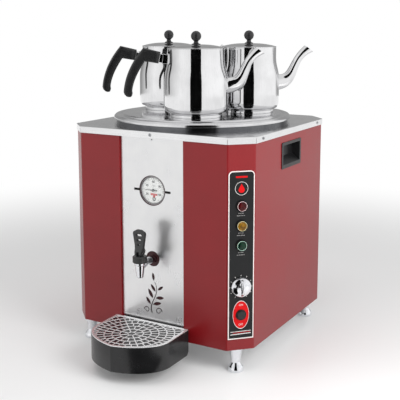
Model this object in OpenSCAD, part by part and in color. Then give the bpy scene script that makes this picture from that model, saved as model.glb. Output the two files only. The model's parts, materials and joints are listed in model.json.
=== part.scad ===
// Hot water urn: an octagonal heated casing with a tap, a control panel and a drip tray,
// a round tank closed by a pan lid, and three teapots that keep warm on the lid.

/* [Casing] */
// Width across the side panels
body_w = 440; // [400:1:540]
// Depth from the front strips to the rear panel
body_d = 428; // [400:1:520]
// Height from the base plate's underside to the top of the cover
casing_h = 435; // [360:1:530]
// Run of each chamfered corner along the sides
corner_run = 41; // [30:1:60]
// Thickness of the painted and stainless sheet
sheet = 1.5; // [1:0.1:3]
// Height of the cover's skirt
skirt_h = 13.4; // [8:0.1:25]
// Width of the steel front between the painted strips
front_w = 156; // [120:1:200]
// Depth of the steel front behind the painted strips
front_recess = 5; // [3:0.1:12]

/* [Feet] */
// Height of a foot
foot_h = 51; // [30:1:80]
// Diameter of a foot's base
foot_d = 33; // [24:1:40]
// Distance from a foot's axis to the side panels
foot_inset = 36; // [30:1:60]
// Diameter of a foot's threaded stud
stud_d = 8; // [6:1:12]

/* [Tank and lid] */
// Outer diameter of the tank
tank_d = 356; // [300:1:360]
// Outer diameter of the collar that stands on the cover
collar_d = 386; // [370:1:390]
// Height of the collar above the cover
collar_h = 12; // [6:0.5:20]
// Outer diameter of the pan lid
lid_d = 397; // [392:1:400]
// Diameter of the lid's flat top
lid_flat_d = 356; // [330:1:370]
// Height of the lid's flat top above the cover
lid_top = 21; // [16:0.5:34]
// Thickness of the mineral wool round the tank
wool = 12; // [6:1:12]
// Height of the tank's floor above the base plate
tank_stand_h = 46; // [30:1:80]
// Diameter of the heating element's tube
element_d = 8.5; // [6:0.5:12]

/* [Thermometer] */
// Height of its centre above the floor
gauge_z = 362; // [300:1:400]
// Diameter of the hole in the steel front
gauge_hole_d = 64; // [50:1:90]
// Diameter of the dial
dial_d = 54; // [40:1:78]
// Length across the two side slots
slot_span = 90; // [80:1:120]
// Height of the side slots
slot_h = 5; // [4:1:12]

/* [Tap] */
// Height of the shank above the floor
tap_z = 216; // [190:1:260]
// Distance from the painted strips to the tap's upright axis
tap_reach = 43; // [35:1:60]
// Diameter of the hole in the steel front
tap_hole_d = 33; // [24:1:40]
// Diameter of the threaded shank
shank_d = 16; // [12:1:20]
// Diameter of the bonnet ring
bonnet_d = 30; // [26:1:40]
// Diameter of the valve stem
stem_d = 5; // [4:0.5:6]
// Lift of the valve when the lever is pulled right down
valve_lift = 4; // [2:0.5:5]
// Length of the lever's paddle
lever_h = 55; // [40:1:75]
// Width of the paddle at its top
lever_w = 29.5; // [24:0.5:36]

/* [Drip tray] */
// Width of the tray
tray_w = 182; // [160:1:220]
// Reach of the tray in front of the painted strips
tray_out = 150; // [110:1:190]
// Height of the tray
tray_h = 47; // [35:1:60]
// Height of the tray's rim above the floor
tray_top = 80; // [70:1:110]
// Thickness of the tray's walls
tray_wall = 2.5; // [2:0.1:4]
// Depth of the grid's seat below the rim
grid_seat = 2.5; // [2:0.1:5]

/* [Control panel] */
// Width of the panel's frame
panel_w = 54; // [46:1:56]
// Height of the panel's frame
panel_h = 345; // [300:1:360]
// Height of the frame's lower edge above the floor
panel_z = 75; // [65:1:90]
// Height of the lowest lamp above the floor
lamp_z = 270; // [250:1:300]
// Distance from one lamp to the next
lamp_pitch = 40; // [30:1:45]
// Diameter of a lamp's bezel
lamp_d = 20.5; // [16:0.5:26]
// Height of the thermostat knob above the floor
knob_z = 184; // [170:1:200]
// Diameter of the thermostat knob
knob_d = 42; // [34:1:50]
// Diameter of the thermostat's shaft
shaft_d = 6; // [5:0.5:8]
// Height of the push button above the floor
button_z = 126; // [115:1:140]
// Diameter of the push button's cap
button_d = 18; // [14:0.5:22]
// Travel of the push button
button_travel = 3; // [1.5:0.5:4]
// Width of the oval label round the button
label_w = 34.5; // [30:0.5:42]
// Height of the oval label
label_h = 59; // [46:1:70]

/* [Side handles] */
// Width of a recessed handle
handle_w = 100; // [80:1:130]
// Height of a recessed handle
handle_h = 56; // [50:1:80]
// Depth of the finger recess
handle_depth = 17; // [12:1:18]
// Height of a handle's centre above the floor
handle_z = 429; // [380:1:435]

/* [Teapots] */
// Diameter of a pot's body
pot_d = 139; // [116:1:141]
// Diameter of a pot's neck
pot_neck_d = 129; // [108:1:131]
// Diameter of a pot's foot
pot_foot_d = 111; // [92:1:120]
// Height from a pot's foot to its mouth
pot_h = 145; // [120:1:175]
// Thickness of a pot's wall
pot_wall = 1.2; // [1:0.1:2]
// Diameter of the ball on a pot's lid
ball_d = 22; // [18:1:26]
// Width of a pot's handle
grip_w = 16; // [12:0.5:18]
// Diameter of the bore of a pot's spout
spout_bore = 11; // [8:0.5:13]

/* [Fits] */
// Gap between loose pieces that seat in one another
seat_gap = 0.4; // [0.2:0.05:1]
// Radial clearance of a pin or shaft that turns in a hole
run_gap = 0.06; // [0.02:0.01:0.1]

/* [Hidden] */
$fn = 96;

// Casing
skirt_gap = 0.3;
cover_over = sheet + skirt_gap;
gland_out = 14;
front_y = -body_d / 2;
body_y = (tray_out + seat_gap - gland_out) / 2;
cover_z = foot_h + casing_h;
panel_top = cover_z - sheet;
plate_y = front_y + front_recess;
inner_y = plate_y + sheet;
inner_flange = 12;
inner_w = front_w + 2 * sheet + 2 * inner_flange;
rear_w = body_w - 2 * corner_run - 24;
base_lip = 15;
foot_step = 5;
gland_x = -110;
gland_z = foot_h + 45;
gland_d = 16;
screw_d = 3;
screw_top = 17;
seam = 0.7;
weld_nut_h = 6.5;
cut = 1;

// Chamfered corner that carries the control panel
chamfer_x = body_w / 2 - corner_run / 2;
chamfer_y = front_y + corner_run / 2;

// Tank, lid and wool
tank_r = tank_d / 2;
tank_z = foot_h + sheet + tank_stand_h;
collar_r = collar_d / 2;
lid_z = cover_z + lid_top;
lid_sheet = 1.5;
wool_gap = 0.3;
wool_r = tank_r + wool_gap + wool;

// Thermometer
bezel_d = gauge_hole_d - 2;
case_d = dial_d + 2;
case_depth = 12;

// Tap
tap_y = front_y - tap_reach;
nozzle_tip_z = tap_z - 27;
chamber_d = 13;
bonnet_z = tap_z + 5;
bonnet_h = 14;
bonnet_top = bonnet_z + bonnet_h;
heel_r = 5;
heel_gap = 0.2;
lever_pin_z = bonnet_top + heel_gap + heel_r;
lever_pin_d = 3;
lever_turn = 60;
cup_d = 11;
cup_h = 8;
seat_z = tap_z - 10;
spring_top = bonnet_top - 4;
shank_in = 14;

// Tray
rim_y = front_y - seat_gap;
tray_z = tray_top - tray_h;
tray_side = 73;
tray_nose = 60;
grid_t = 1.2;
bracket_t = 2;
tongue_w = 90;

// Control panel
frame_t = 2.4;
frame_rim = 2;
plate_t = 1.8;
barrel_out = 7;
barrel_shank_d = 15;
lens_d = 12;
knob_h = 20;
button_out = 5;
bezel_out = 3;

// Teapots: place on the lid and direction of the spout
pot_places = [[34.5, -86.3, 29.8], [-100.9, 20.6, 41.8], [90.7, 52, 34.8]];
pot_r = pot_d / 2;
neck_r = pot_neck_d / 2;
pot_foot_h = 10;
neck_z = 0.76 * pot_h;
pot_lid_rise = 7;
ball_z = pot_h + pot_lid_rise + 19;

// ---------- helpers ----------

// Outline of the casing, moved inwards by d
function plan(d) =
  let(x = body_w / 2 - d, y = body_d / 2 - d, c = corner_run - d * (2 - sqrt(2)))
  [[-x + c, -y], [x - c, -y], [x, -y + c], [x, y - c],
   [x - c, y], [-x + c, y], [-x, y - c], [-x, -y + c]];

// Points of an arc from angle a to angle b
function arc(x, y, r, a, b, n) =
  [for (i = [0 : n]) [x + r * cos(a + (b - a) * i / n), y + r * sin(a + (b - a) * i / n)]];

// Point of a cubic curve through the control points p
function cubic(p, t) =
  pow(1 - t, 3) * p[0] + 3 * t * pow(1 - t, 2) * p[1] + 3 * t * t * (1 - t) * p[2] + pow(t, 3) * p[3];

// Ring of k points that spans from point a to point b of the XZ plane; below 1, power squares it off
function ring(a, b, wide, k, power = 1) =
  let(c = (a + b) / 2, h = (b - a) / 2)
  [for (i = [0 : k - 1])
    let(t = 360 * i / k, u = pow(abs(cos(t)), power) * sign(cos(t)))
    let(v = pow(abs(sin(t)), power) * sign(sin(t)))
    [c[0] + u * h[0], wide * v, c[1] + u * h[1]]];

// Rings between two edge curves from t = 0 to t1, set in by d
function tube(edges, wides, d, n, t1, k, power = 1) =
  [for (i = [0 : n])
    let(t = t1 * i / n, a = cubic(edges[0], t), b = cubic(edges[1], t), way = (b - a) / norm(b - a))
    ring(a + d * way, b - d * way, lookup(min(t, 1), wides) - d, k, power)];

// Closed solid through a row of rings that have the same number of points
module loft(rings) {
  k = len(rings[0]);
  last = len(rings) - 1;
  polyhedron(
    points = [for (r = rings) for (p = r) p],
    faces = [
      [for (i = [k - 1 : -1 : 0]) i],
      for (j = [0 : last - 1]) for (i = [0 : k - 1])
        [j * k + i, j * k + (i + 1) % k, (j + 1) * k + (i + 1) % k, (j + 1) * k + i],
      [for (i = [0 : k - 1]) last * k + i]
    ],
    convexity = 6
  );
}

module at_body() { translate([0, body_y, 0]) children(); }

// Frame of the control panel: X runs along the chamfer, -Y points out of it
module at_panel() { at_body() translate([chamfer_x, chamfer_y, 0]) rotate(45) children(); }

// Cylinder from y1 to y2 along Y at height z
module bar_y(d, y1, y2, z = 0, x = 0) {
  translate([x, y1, z]) rotate([-90, 0, 0]) cylinder(d = d, h = y2 - y1);
}

module at_feet() {
  for (sx = [-1, 1], sy = [-1, 1])
    translate([sx * (body_w / 2 - foot_inset), sy * (body_d / 2 - foot_inset + foot_step), 0]) children();
}

module casing_wall(d, t, z1, z2) {
  translate([0, 0, z1]) linear_extrude(z2 - z1) difference() {
    polygon(plan(d));
    polygon(plan(d + t));
  }
}

// ---------- casing ----------

module base_plate() {
  color("gainsboro") at_body() difference() {
    union() {
      translate([0, 0, foot_h]) linear_extrude(sheet) polygon(plan(sheet));
      casing_wall(sheet, sheet, foot_h, foot_h + base_lip);
      at_feet() translate([0, 0, foot_h + sheet]) cylinder(d = 1.85 * stud_d, h = weld_nut_h, $fn = 6);
    }
    at_feet() translate([0, 0, foot_h - cut])
      cylinder(d = stud_d + 2 * run_gap, h = sheet + weld_nut_h + 2 * cut);
    translate([-body_w, plate_y - body_d, foot_h - cut]) cube([2 * body_w, body_d, base_lip + 2 * cut]);
    translate([-inner_w / 2 - seat_gap, front_y, foot_h - cut])
      cube([inner_w + 2 * seat_gap, inner_y + sheet - front_y, base_lip + 2 * cut]);
  }
}

// One side of the painted shell: front strip, chamfers, side and rear strip
module side_shell() {
  difference() {
    casing_wall(0, sheet, foot_h, panel_top);
    translate([-body_w, -body_d, 0]) cube([body_w, 2 * body_d, 2 * casing_h]);
    translate([-cut, -body_d, 0]) cube([front_w / 2 + cut, body_d, 2 * casing_h]);
    translate([-cut, 0, 0]) cube([rear_w / 2 + cut, body_d, 2 * casing_h]);
    translate([body_w / 2 - 2 * sheet, -handle_w / 2 + 4, handle_z - handle_h / 2 + 4])
      cube([3 * sheet, handle_w - 8, handle_h - 8]);
  }
  translate([front_w / 2, front_y, foot_h]) cube([sheet, front_recess + sheet, panel_top - foot_h]);
}

module left_side_panel() {
  color("brown") at_body() mirror([1, 0, 0]) side_shell();
}

module right_side_panel() {
  color("brown") difference() {
    at_body() side_shell();
    at_panel() {
      for (i = [0 : 2]) bar_y(barrel_shank_d + seat_gap, -sheet, 2 * sheet, lamp_z + i * lamp_pitch);
      bar_y(shaft_d + 4, -sheet, 2 * sheet, knob_z);
      bar_y(button_d + 3 + seat_gap, -sheet, 2 * sheet, button_z);
    }
  }
}

module rear_panel() {
  color("brown") at_body() difference() {
    union() {
      translate([-rear_w / 2, body_d / 2 - sheet, foot_h]) cube([rear_w, sheet, panel_top - foot_h]);
      for (s = [-1, 1])
        translate([s * rear_w / 2 - 10, body_d / 2 - 2 * sheet, foot_h + base_lip])
          cube([20, sheet, panel_top - foot_h - base_lip]);
    }
    bar_y(gland_d + seat_gap, body_d / 2 - 4 * sheet, body_d / 2 + sheet, gland_z, gland_x);
    for (row = [0 : 5], sx = [-1, 1])
      translate([sx * 70 - 30, body_d / 2 - 2 * sheet, casing_h - 10 - row * 12]) cube([60, 3 * sheet, 4]);
  }
}

module inner_front_panel() {
  color("brown") at_body() difference() {
    translate([-inner_w / 2, inner_y, foot_h]) cube([inner_w, sheet, panel_top - foot_h]);
    bar_y(case_d + seat_gap, inner_y - sheet, inner_y + 2 * sheet, gauge_z);
    bar_y(shank_d + 1, inner_y - sheet, inner_y + 2 * sheet, tap_z);
  }
}

// Pointed leaf that grows upwards from the origin
module leaf(long, wide) {
  r = (long * long + wide * wide) / (4 * wide);
  translate([0, long / 2]) intersection_for(s = [-1, 1]) translate([s * (r - wide / 2), 0]) circle(r = r);
}

// Stroke along a cubic curve, from w1 wide to w2 wide
module stroke(p, w1, w2, n = 12) {
  step = 0.01;
  function side(t, s) =
    let(c = cubic(p, t), d = cubic(p, t + step) - cubic(p, t - step), w = w1 + (w2 - w1) * t)
    c + s * w / 2 * [-d[1], d[0]] / norm(d);
  polygon(concat([for (i = [0 : n]) side(i / n, 1)], [for (i = [n : -1 : 0]) side(i / n, -1)]));
}

// Stroke wound into a curl that tightens from radius r1 to r2
module curl(r1, r2, turn, w) {
  n = 20;
  function spoke(i, s) =
    let(a = turn * i / n, r = r1 + (r2 - r1) * i / n + s * w / 2 * (1 - 0.4 * i / n)) r * [cos(a), sin(a)];
  polygon(concat([for (i = [0 : n]) spoke(i, 1)], [for (i = [n : -1 : 0]) spoke(i, -1)]));
}

// Leafy sprig with two curls at its foot, cut through the steel front
module sprig() {
  stem = [[-3, 97], [-14, 122], [22, 138], [4, 166]];
  leaves = [[0.22, -50, 19, 7], [0.26, 56, 22, 7.5], [0.44, -58, 23, 8], [0.5, 54, 21, 7.5],
    [0.68, -52, 19, 7], [0.75, 48, 17, 6]];
  stroke(stem, 2.6, 1.4);
  translate([2, 168]) rotate(8) leaf(18, 6.5);
  for (l = leaves) let(c = cubic(stem, l[0]), d = cubic(stem, l[0] + 0.02) - c)
    translate(c) rotate(atan2(d[1], d[0]) - 90 - l[1]) translate([0, 3.2]) leaf(l[2], l[3]);
  translate([14, 103]) curl(8, 2.6, 400, 2.2);
  translate([-16, 102]) mirror([1, 0]) curl(7, 2.4, 400, 2);
}

module front_plate() {
  gap = 0.3;
  w = front_w - 2 * gap;
  color("whitesmoke") at_body() difference() {
    translate([-w / 2, plate_y, foot_h]) cube([w, sheet, panel_top - foot_h]);
    bar_y(gauge_hole_d, plate_y - sheet, plate_y + 2 * sheet, gauge_z);
    translate([-slot_span / 2, plate_y - sheet, gauge_z - slot_h / 2]) cube([slot_span, 3 * sheet, slot_h]);
    bar_y(tap_hole_d, plate_y - sheet, plate_y + 2 * sheet, tap_z);
    bar_y(screw_d, plate_y - sheet, plate_y + 2 * sheet, cover_z - screw_top);
    translate([0, plate_y + 2 * sheet, 0]) rotate([90, 0, 0]) linear_extrude(3 * sheet) sprig();
  }
}

module cover_screw_places() {
  translate([0, front_y - cover_over, cover_z - skirt_h / 2]) children();
  for (s = [-1, 1], y = [-body_d / 3, body_d / 3])
    translate([s * (body_w / 2 + cover_over), y, cover_z - skirt_h / 2]) rotate(s * 90) children();
}

module top_cover() {
  color("gainsboro") at_body() difference() {
    union() {
      translate([0, 0, panel_top]) linear_extrude(sheet) polygon(plan(-cover_over));
      casing_wall(-cover_over, sheet, cover_z - skirt_h, panel_top);
    }
    translate([0, 0, panel_top - cut]) cylinder(d = tank_d + 2 * wool_gap, h = sheet + 2 * cut, $fn = 180);
    cover_screw_places() bar_y(screw_d, -cut, 2 * sheet);
    for (i = [0 : 7]) let(p = plan(-cover_over)[i]) translate([p[0], p[1], cover_z - skirt_h - cut])
      rotate(45 * i - 112.5) translate([-3 * sheet, -seam / 2, 0])
        cube([3 * sheet + cut, seam, skirt_h + cut - 2 * sheet]);
  }
}

module cover_screws() {
  color("silver") at_body() cover_screw_places() {
    bar_y(screw_d, 0, sheet + skirt_gap);
    rotate([90, 0, 0]) difference() {
      cylinder(d1 = 7, d2 = 4.5, h = 1.8);
      translate([0, 0, 1]) for (a = [0, 90]) rotate(a) cube([3.2, 0.9, 2], center = true);
    }
  }
}

// ---------- feet and mains ----------

module feet() {
  waist_r = 0.56 * foot_d / 2;
  base = [[0, 0], [foot_d / 2 - 1.5, 0], [foot_d / 2, 1.5], [foot_d / 2, 5]];
  dome = [for (a = [10 : 10 : 80]) [waist_r + (foot_d / 2 - waist_r) * cos(a), 5 + 13 * sin(a)]];
  cone = [[waist_r, 19], [waist_r + 4.6, foot_h - 3], [waist_r + 5, foot_h], [0, foot_h]];
  color("silver") at_body() at_feet() {
    rotate_extrude() polygon(concat(base, dome, cone));
    translate([0, 0, foot_h - cut]) cylinder(d = stud_d, h = cut + sheet + weld_nut_h + 5);
  }
}

module cable_gland() {
  color("dimgray") at_body() translate([gland_x, body_d / 2, gland_z]) difference() {
    union() {
      bar_y(gland_d, -sheet - 12, 0);
      bar_y(22, 0, 5);
      translate([0, 5, 0]) rotate([-90, 0, 0]) cylinder(d1 = 20, d2 = 14, h = gland_out - 5);
      translate([0, -sheet - 5, 0]) rotate([-90, 0, 0]) cylinder(d = 23, h = 5, $fn = 6);
    }
    bar_y(8, -30, gland_out + cut);
  }
}

module terminal_block() {
  color("ivory") at_body() translate([gland_x - 38, body_d / 2 - 62, foot_h + sheet]) difference() {
    cube([60, 24, 18]);
    for (i = [0 : 4]) translate([8 + 11 * i, 12, 6]) cylinder(d = 5, h = 18, $fn = 32);
  }
}

// ---------- tank ----------

module water_tank() {
  color("lightgray") at_body() difference() {
    rotate_extrude($fn = 180) polygon(concat(
      [[0, tank_z], [tank_r - 12, tank_z]],
      arc(tank_r - 12, tank_z + 12, 12, -90, 0, 8),
      [[tank_r, cover_z], [collar_r, cover_z], [collar_r, cover_z + collar_h],
       [collar_r - sheet, cover_z + collar_h], [collar_r - sheet, cover_z + sheet],
       [tank_r - sheet, cover_z + sheet]],
      arc(tank_r - 12, tank_z + 12, 12 - sheet, 0, -90, 8),
      [[0, tank_z + sheet]]
    ));
    translate([0, 0, tank_z - cut]) cylinder(d = 60, h = sheet + 2 * cut);
    bar_y(shank_d + 0.2, -tank_r - 10, -tank_r + 20, tap_z);
    bar_y(8.2, -tank_r - 10, -tank_r + 20, gauge_z);
  }
}

module tank_stand() {
  color("darkgray") at_body() translate([0, 0, foot_h + sheet]) difference() {
    cylinder(r = tank_r - 14, h = tank_stand_h, $fn = 120);
    translate([0, 0, -cut]) cylinder(r = tank_r - 14 - sheet, h = tank_stand_h + 2 * cut, $fn = 120);
    for (a = [0 : 45 : 135]) rotate(a) translate([-body_w, -20, -cut])
      cube([2 * body_w, 40, tank_stand_h - 8]);
  }
}

module tank_insulation() {
  color("khaki") difference() {
    at_body() translate([0, 0, tank_z + 14]) difference() {
      cylinder(r = wool_r, h = panel_top - tank_z - 16, $fn = 120);
      translate([0, 0, -cut]) cylinder(r = tank_r + wool_gap, h = casing_h, $fn = 120);
      bar_y(40, -wool_r - cut, -tank_r + 10, tap_z - tank_z - 14);
      bar_y(14, -wool_r - cut, -tank_r + 10, gauge_z - tank_z - 14);
    }
    at_panel() translate([0, 60, knob_z]) cube([20, 80, 130], center = true);
  }
}

// Two hairpin tubes brazed into a brass flange under the tank's floor
module heating_element() {
  hairpins = [[13, 70, 0], [22, 92, 90]];
  color("goldenrod") at_body() translate([0, 0, tank_z - 6]) difference() {
    cylinder(d = 84, h = 6);
    for (p = hairpins, s = [-1, 1]) rotate(p[2]) translate([s * p[0], 0, -cut])
      cylinder(d = element_d, h = 8);
  }
  color("slategray") at_body() for (p = hairpins) rotate(p[2]) translate([0, 0, tank_z - 22]) {
    for (s = [-1, 1]) translate([s * p[0], 0, 0]) cylinder(d = element_d, h = 22 + p[1]);
    translate([0, 0, 22 + p[1]]) rotate([90, 0, 0])
      rotate_extrude(angle = 180) translate([p[0], 0]) circle(d = element_d);
  }
}

module tank_lid() {
  skirt_r = lid_d / 2;
  seat = cover_z + collar_h;
  lip_r = collar_r - sheet - seat_gap;
  flat_r = lid_flat_d / 2;
  color("gainsboro") at_body() rotate_extrude($fn = 180) polygon(concat(
    [[0, lid_z], [flat_r, lid_z], [flat_r + 2, lid_z - 0.6], [flat_r + 4, lid_z - 2.4],
     [flat_r + 7, lid_z - 3.4]],
    arc(skirt_r - 5, lid_z - 8, 5, 75, 0, 6),
    [[skirt_r, cover_z + 9], [skirt_r - lid_sheet, cover_z + 9], [skirt_r - lid_sheet, seat],
     [lip_r, seat], [lip_r, seat - 3], [lip_r - lid_sheet, seat - 3], [lip_r - lid_sheet, seat + 1],
     [flat_r - 2, lid_z - lid_sheet], [0, lid_z - lid_sheet]]
  ));
}

// ---------- thermometer ----------

module gauge_case() {
  color("silver") at_body() difference() {
    union() {
      bar_y(bezel_d, plate_y, inner_y, gauge_z);
      bar_y(case_d, inner_y, inner_y + case_depth, gauge_z);
      bar_y(8, inner_y, -tank_r + 40, gauge_z);
    }
    bar_y(dial_d - 2, plate_y - cut, plate_y + 1, gauge_z);
    bar_y(dial_d, plate_y + 0.6, plate_y + 5.8, gauge_z);
    bar_y(1.5 + 2 * run_gap, plate_y, plate_y + 10, gauge_z);
  }
}

module gauge_dial() {
  color("white") at_body() difference() {
    bar_y(dial_d - seat_gap, plate_y + 5, plate_y + 5.8, gauge_z);
    bar_y(1.5 + 2 * run_gap, plate_y, plate_y + 10, gauge_z);
  }
}

// Needle at nine o'clock with a counterweight tail
module gauge_pointer() {
  reach = dial_d / 2 - 6;
  color("black") at_body() {
    translate([0, plate_y + 4.2, gauge_z]) rotate([90, 0, 0]) linear_extrude(0.7)
      polygon([[-reach, 0.2], [-reach, -0.2], [0, -1], [9, -1.6], [9, 1.6], [0, 1]]);
    bar_y(6, plate_y + 3, plate_y + 4.6, gauge_z);
    bar_y(1.5, plate_y + 4, plate_y + 8.5, gauge_z);
  }
}

module gauge_lens() {
  color("lightcyan", 0.4) at_body() bar_y(dial_d - seat_gap, plate_y + 0.7, plate_y + 2.2, gauge_z);
}

// ---------- tap ----------

module at_tap() { at_body() translate([0, tap_y, 0]) children(); }

module tap_body() {
  neck_d = bonnet_d - 8;
  color("silver") at_tap() difference() {
    union() {
      rotate_extrude() polygon([
        [0, nozzle_tip_z], [6.2, nozzle_tip_z], [7, nozzle_tip_z + 0.8], [10.4, bonnet_z - 6],
        [11.4, bonnet_z - 4], [11.4, bonnet_z], [neck_d / 2, bonnet_z], [neck_d / 2, bonnet_top - 4],
        [0, bonnet_top - 4]
      ]);
      bar_y(shank_d, 0, -tank_r + shank_in - tap_y, tap_z);
      translate([0, 6, tap_z]) rotate([-90, 0, 0]) cylinder(d1 = shank_d + 5, d2 = shank_d, h = 16);
    }
    translate([0, 0, nozzle_tip_z - cut]) cylinder(d = 8, h = casing_h);
    translate([0, 0, seat_z]) cylinder(d = chamber_d, h = casing_h);
    bar_y(8, 0, body_d, tap_z);
    translate([0, 0, bonnet_z]) difference() {
      cylinder(d = bonnet_d + 2 * seat_gap, h = casing_h);
      translate([0, 0, -cut]) cylinder(d = neck_d, h = casing_h + 2 * cut);
    }
  }
}

// Flanged nut that seats against the curved wall inside the tank
module tap_nut() {
  flange_r = 0.8 * shank_d + 1.5;
  seat_y = run_gap - sqrt(pow(tank_r - sheet, 2) - flange_r * flange_r);
  color("goldenrod") at_body() translate([0, seat_y, tap_z]) rotate([-90, 0, 0]) difference() {
    union() {
      cylinder(d = 1.6 * shank_d, h = 7, $fn = 6);
      cylinder(r = flange_r, h = 1.2);
    }
    translate([0, 0, -cut]) cylinder(d = shank_d, h = 10);
  }
}

module tap_bonnet() {
  color("dimgray") at_tap() difference() {
    translate([0, 0, bonnet_z]) rotate_extrude() polygon([
      [0, 0], [bonnet_d / 2 - 1, 0], [bonnet_d / 2, 1], [bonnet_d / 2, bonnet_h - 2],
      [bonnet_d / 2 - 2, bonnet_h], [0, bonnet_h]
    ]);
    translate([0, 0, bonnet_z - cut]) cylinder(d = bonnet_d - 8, h = bonnet_h - 4 + cut);
    translate([0, 0, bonnet_z]) cylinder(d = stem_d + 2 * run_gap, h = bonnet_h + cut);
    for (i = [0 : 23]) rotate(15 * i) translate([bonnet_d / 2 + 0.4, 0, bonnet_z - cut])
      cylinder(d = 2, h = bonnet_h - 1, $fn = 16);
  }
}

module valve_stem() {
  color("silver") at_tap() difference() {
    translate([0, 0, seat_z + 3]) cylinder(d = stem_d, h = lever_pin_z + 3 - seat_z - 3);
    translate([-stem_d, 0, lever_pin_z]) rotate([0, 90, 0]) cylinder(d = lever_pin_d, h = 2 * stem_d);
  }
}

module seat_cup() {
  color("white") at_tap() difference() {
    translate([0, 0, seat_z]) cylinder(d1 = cup_d - 1, d2 = cup_d, h = cup_h);
    translate([0, 0, seat_z + 3]) cylinder(d = stem_d, h = cup_h);
  }
}

// Coil that presses the seat cup down
module valve_spring() {
  wire = 0.9;
  coil_r = (stem_d + cup_d) / 4 + 0.3;
  turns = 5;
  low = seat_z + cup_h + wire / 2;
  rise = spring_top - wire / 2 - low;
  steps = 14 * turns;
  color("silver") at_tap() loft([for (i = [0 : steps]) let(a = 360 * turns * i / steps)
    [for (k = [0 : 5]) let(b = -60 * k) [(coil_r + wire / 2 * cos(b)) * cos(a),
      (coil_r + wire / 2 * cos(b)) * sin(a), low + rise * i / steps + wire / 2 * sin(b)]]]);
}

module lever_pin() {
  color("silver") at_tap() translate([-6.5, 0, lever_pin_z]) rotate([0, 90, 0])
    cylinder(d = lever_pin_d, h = 13);
}

// Front of the lever's heel: a cam that keeps touching the bonnet while it lifts the pin
function heel_cam(n) =
  let(k = valve_lift / (lever_turn * PI / 180))
  [for (i = [0 : n]) let(a = lever_turn * i / n, h = heel_r + k * a * PI / 180)
    [-h * sin(a) - k * cos(a), heel_r - h * cos(a) + k * sin(a)]];

// Paddle that widens upwards, with three slots and a lug behind its foot
module tap_lever() {
  foot = bonnet_top + heel_gap;
  top_r = 6;
  half = lever_w / 2;
  color("dimgray") at_tap() difference() {
    intersection() {
      translate([0, 20, foot]) rotate([90, 0, 0]) linear_extrude(40) polygon(concat(
        [[-6.5, 0], [6.5, 0], [8, 9]],
        arc(half - top_r, lever_h - top_r - 3, top_r, 0, 75, 6),
        arc(0, lever_h - 3 * half, 3 * half, 82, 98, 6),
        arc(top_r - half, lever_h - top_r - 3, top_r, 105, 180, 6),
        [[-8, 9]]
      ));
      translate([-40, 0, foot]) rotate([90, 0, 90]) linear_extrude(80) polygon(concat(
        [[4, 0], [9, 4], [9.5, 10], [5, 15], [4, 22], [2.8, lever_h - 4], [1.5, lever_h],
         [-1.5, lever_h], [-3.4, lever_h - 3], [-3.8, 22], [-5, 16], [-8.6, 9]],
        [for (i = [6 : -1 : 0]) heel_cam(6)[i]]
      ));
    }
    for (i = [0 : 2]) translate([0, 10, foot + lever_h - 12 - 10 * i]) hull() for (s = [-1, 1])
      translate([s * (4.2 - 1.3 * i), 0, 0]) rotate([90, 0, 0])
        cylinder(r = 2.5 - 0.4 * i, h = 20, $fn = 24);
    translate([-20, 0, lever_pin_z]) rotate([0, 90, 0]) cylinder(d = lever_pin_d + 2 * run_gap, h = 40);
    translate([-stem_d / 2 - 0.3, -20, foot - cut]) cube([stem_d + 0.6, 40, lever_pin_z - foot + 5]);
  }
}

// ---------- side handles ----------

// Plastic cup let into a side panel, with a lip that the fingers hold
module handle_cup() {
  lip = 2;
  flange = 1.5;
  module block(inset, x1, x2)
    translate([x1, 0, handle_z]) rotate([90, 0, 90]) linear_extrude(x2 - x1)
      offset(r = 3) square([handle_w - 6 - 2 * inset, handle_h - 6 - 2 * inset], center = true);
  x = body_w / 2;
  difference() {
    union() {
      block(0, x, x + flange);
      block(4 + seat_gap / 2, x - handle_depth - lip, x + 0.1);
    }
    intersection() {
      block(4 + seat_gap / 2 + lip, x - handle_depth, x + flange + cut);
      translate([x, handle_w, handle_z]) rotate([90, 0, 0]) linear_extrude(2 * handle_w)
        polygon([[flange + cut, -handle_h], [flange, 6 + lip - handle_h / 2], [-handle_depth, -6],
          [-handle_depth, handle_h], [flange + cut, handle_h]]);
    }
  }
}

module left_handle() {
  color("black") at_body() mirror([1, 0, 0]) handle_cup();
}

module right_handle() {
  color("black") at_body() handle_cup();
}

// ---------- control panel ----------

module panel_outline(inset) {
  w = panel_w - 2 * inset;
  h = panel_h - 2 * inset;
  r = 9 - inset;
  polygon(concat([[-w / 2, panel_z + inset], [w / 2, panel_z + inset]],
    arc(w / 2 - r, panel_z + inset + h - r, r, 0, 90, 8),
    arc(r - w / 2, panel_z + inset + h - r, r, 90, 180, 8)));
}

module sheet_out(t) { rotate([90, 0, 0]) linear_extrude(t) children(); }

module panel_frame() {
  color("silver") at_panel() sheet_out(frame_t) difference() {
    panel_outline(0);
    panel_outline(frame_rim);
  }
}

module control_panel() {
  color("dimgray") at_panel() difference() {
    sheet_out(plate_t) panel_outline(frame_rim + 0.2);
    for (i = [0 : 2]) bar_y(barrel_shank_d + seat_gap, -2 * plate_t, cut, lamp_z + i * lamp_pitch);
    bar_y(shaft_d + 4, -2 * plate_t, cut, knob_z);
    bar_y(button_d + 3 + seat_gap, -2 * plate_t, cut, button_z);
  }
}

module lamp_barrels() {
  color("black") at_panel() for (i = [0 : 2]) translate([0, 0, lamp_z + i * lamp_pitch]) difference() {
    union() {
      translate([0, -plate_t, 0]) rotate([90, 0, 0]) rotate_extrude() polygon([
        [0, 0], [lamp_d / 2, 0], [lamp_d / 2, barrel_out - 1.5], [lamp_d / 2 - 1.5, barrel_out],
        [0, barrel_out]]);
      bar_y(barrel_shank_d, -plate_t, 24);
      bar_y(20, sheet, sheet + 5);
    }
    bar_y(lens_d + 2, -barrel_out - 2 * plate_t, -plate_t - barrel_out + 3);
    bar_y(lens_d, -barrel_out, 10);
  }
}

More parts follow.
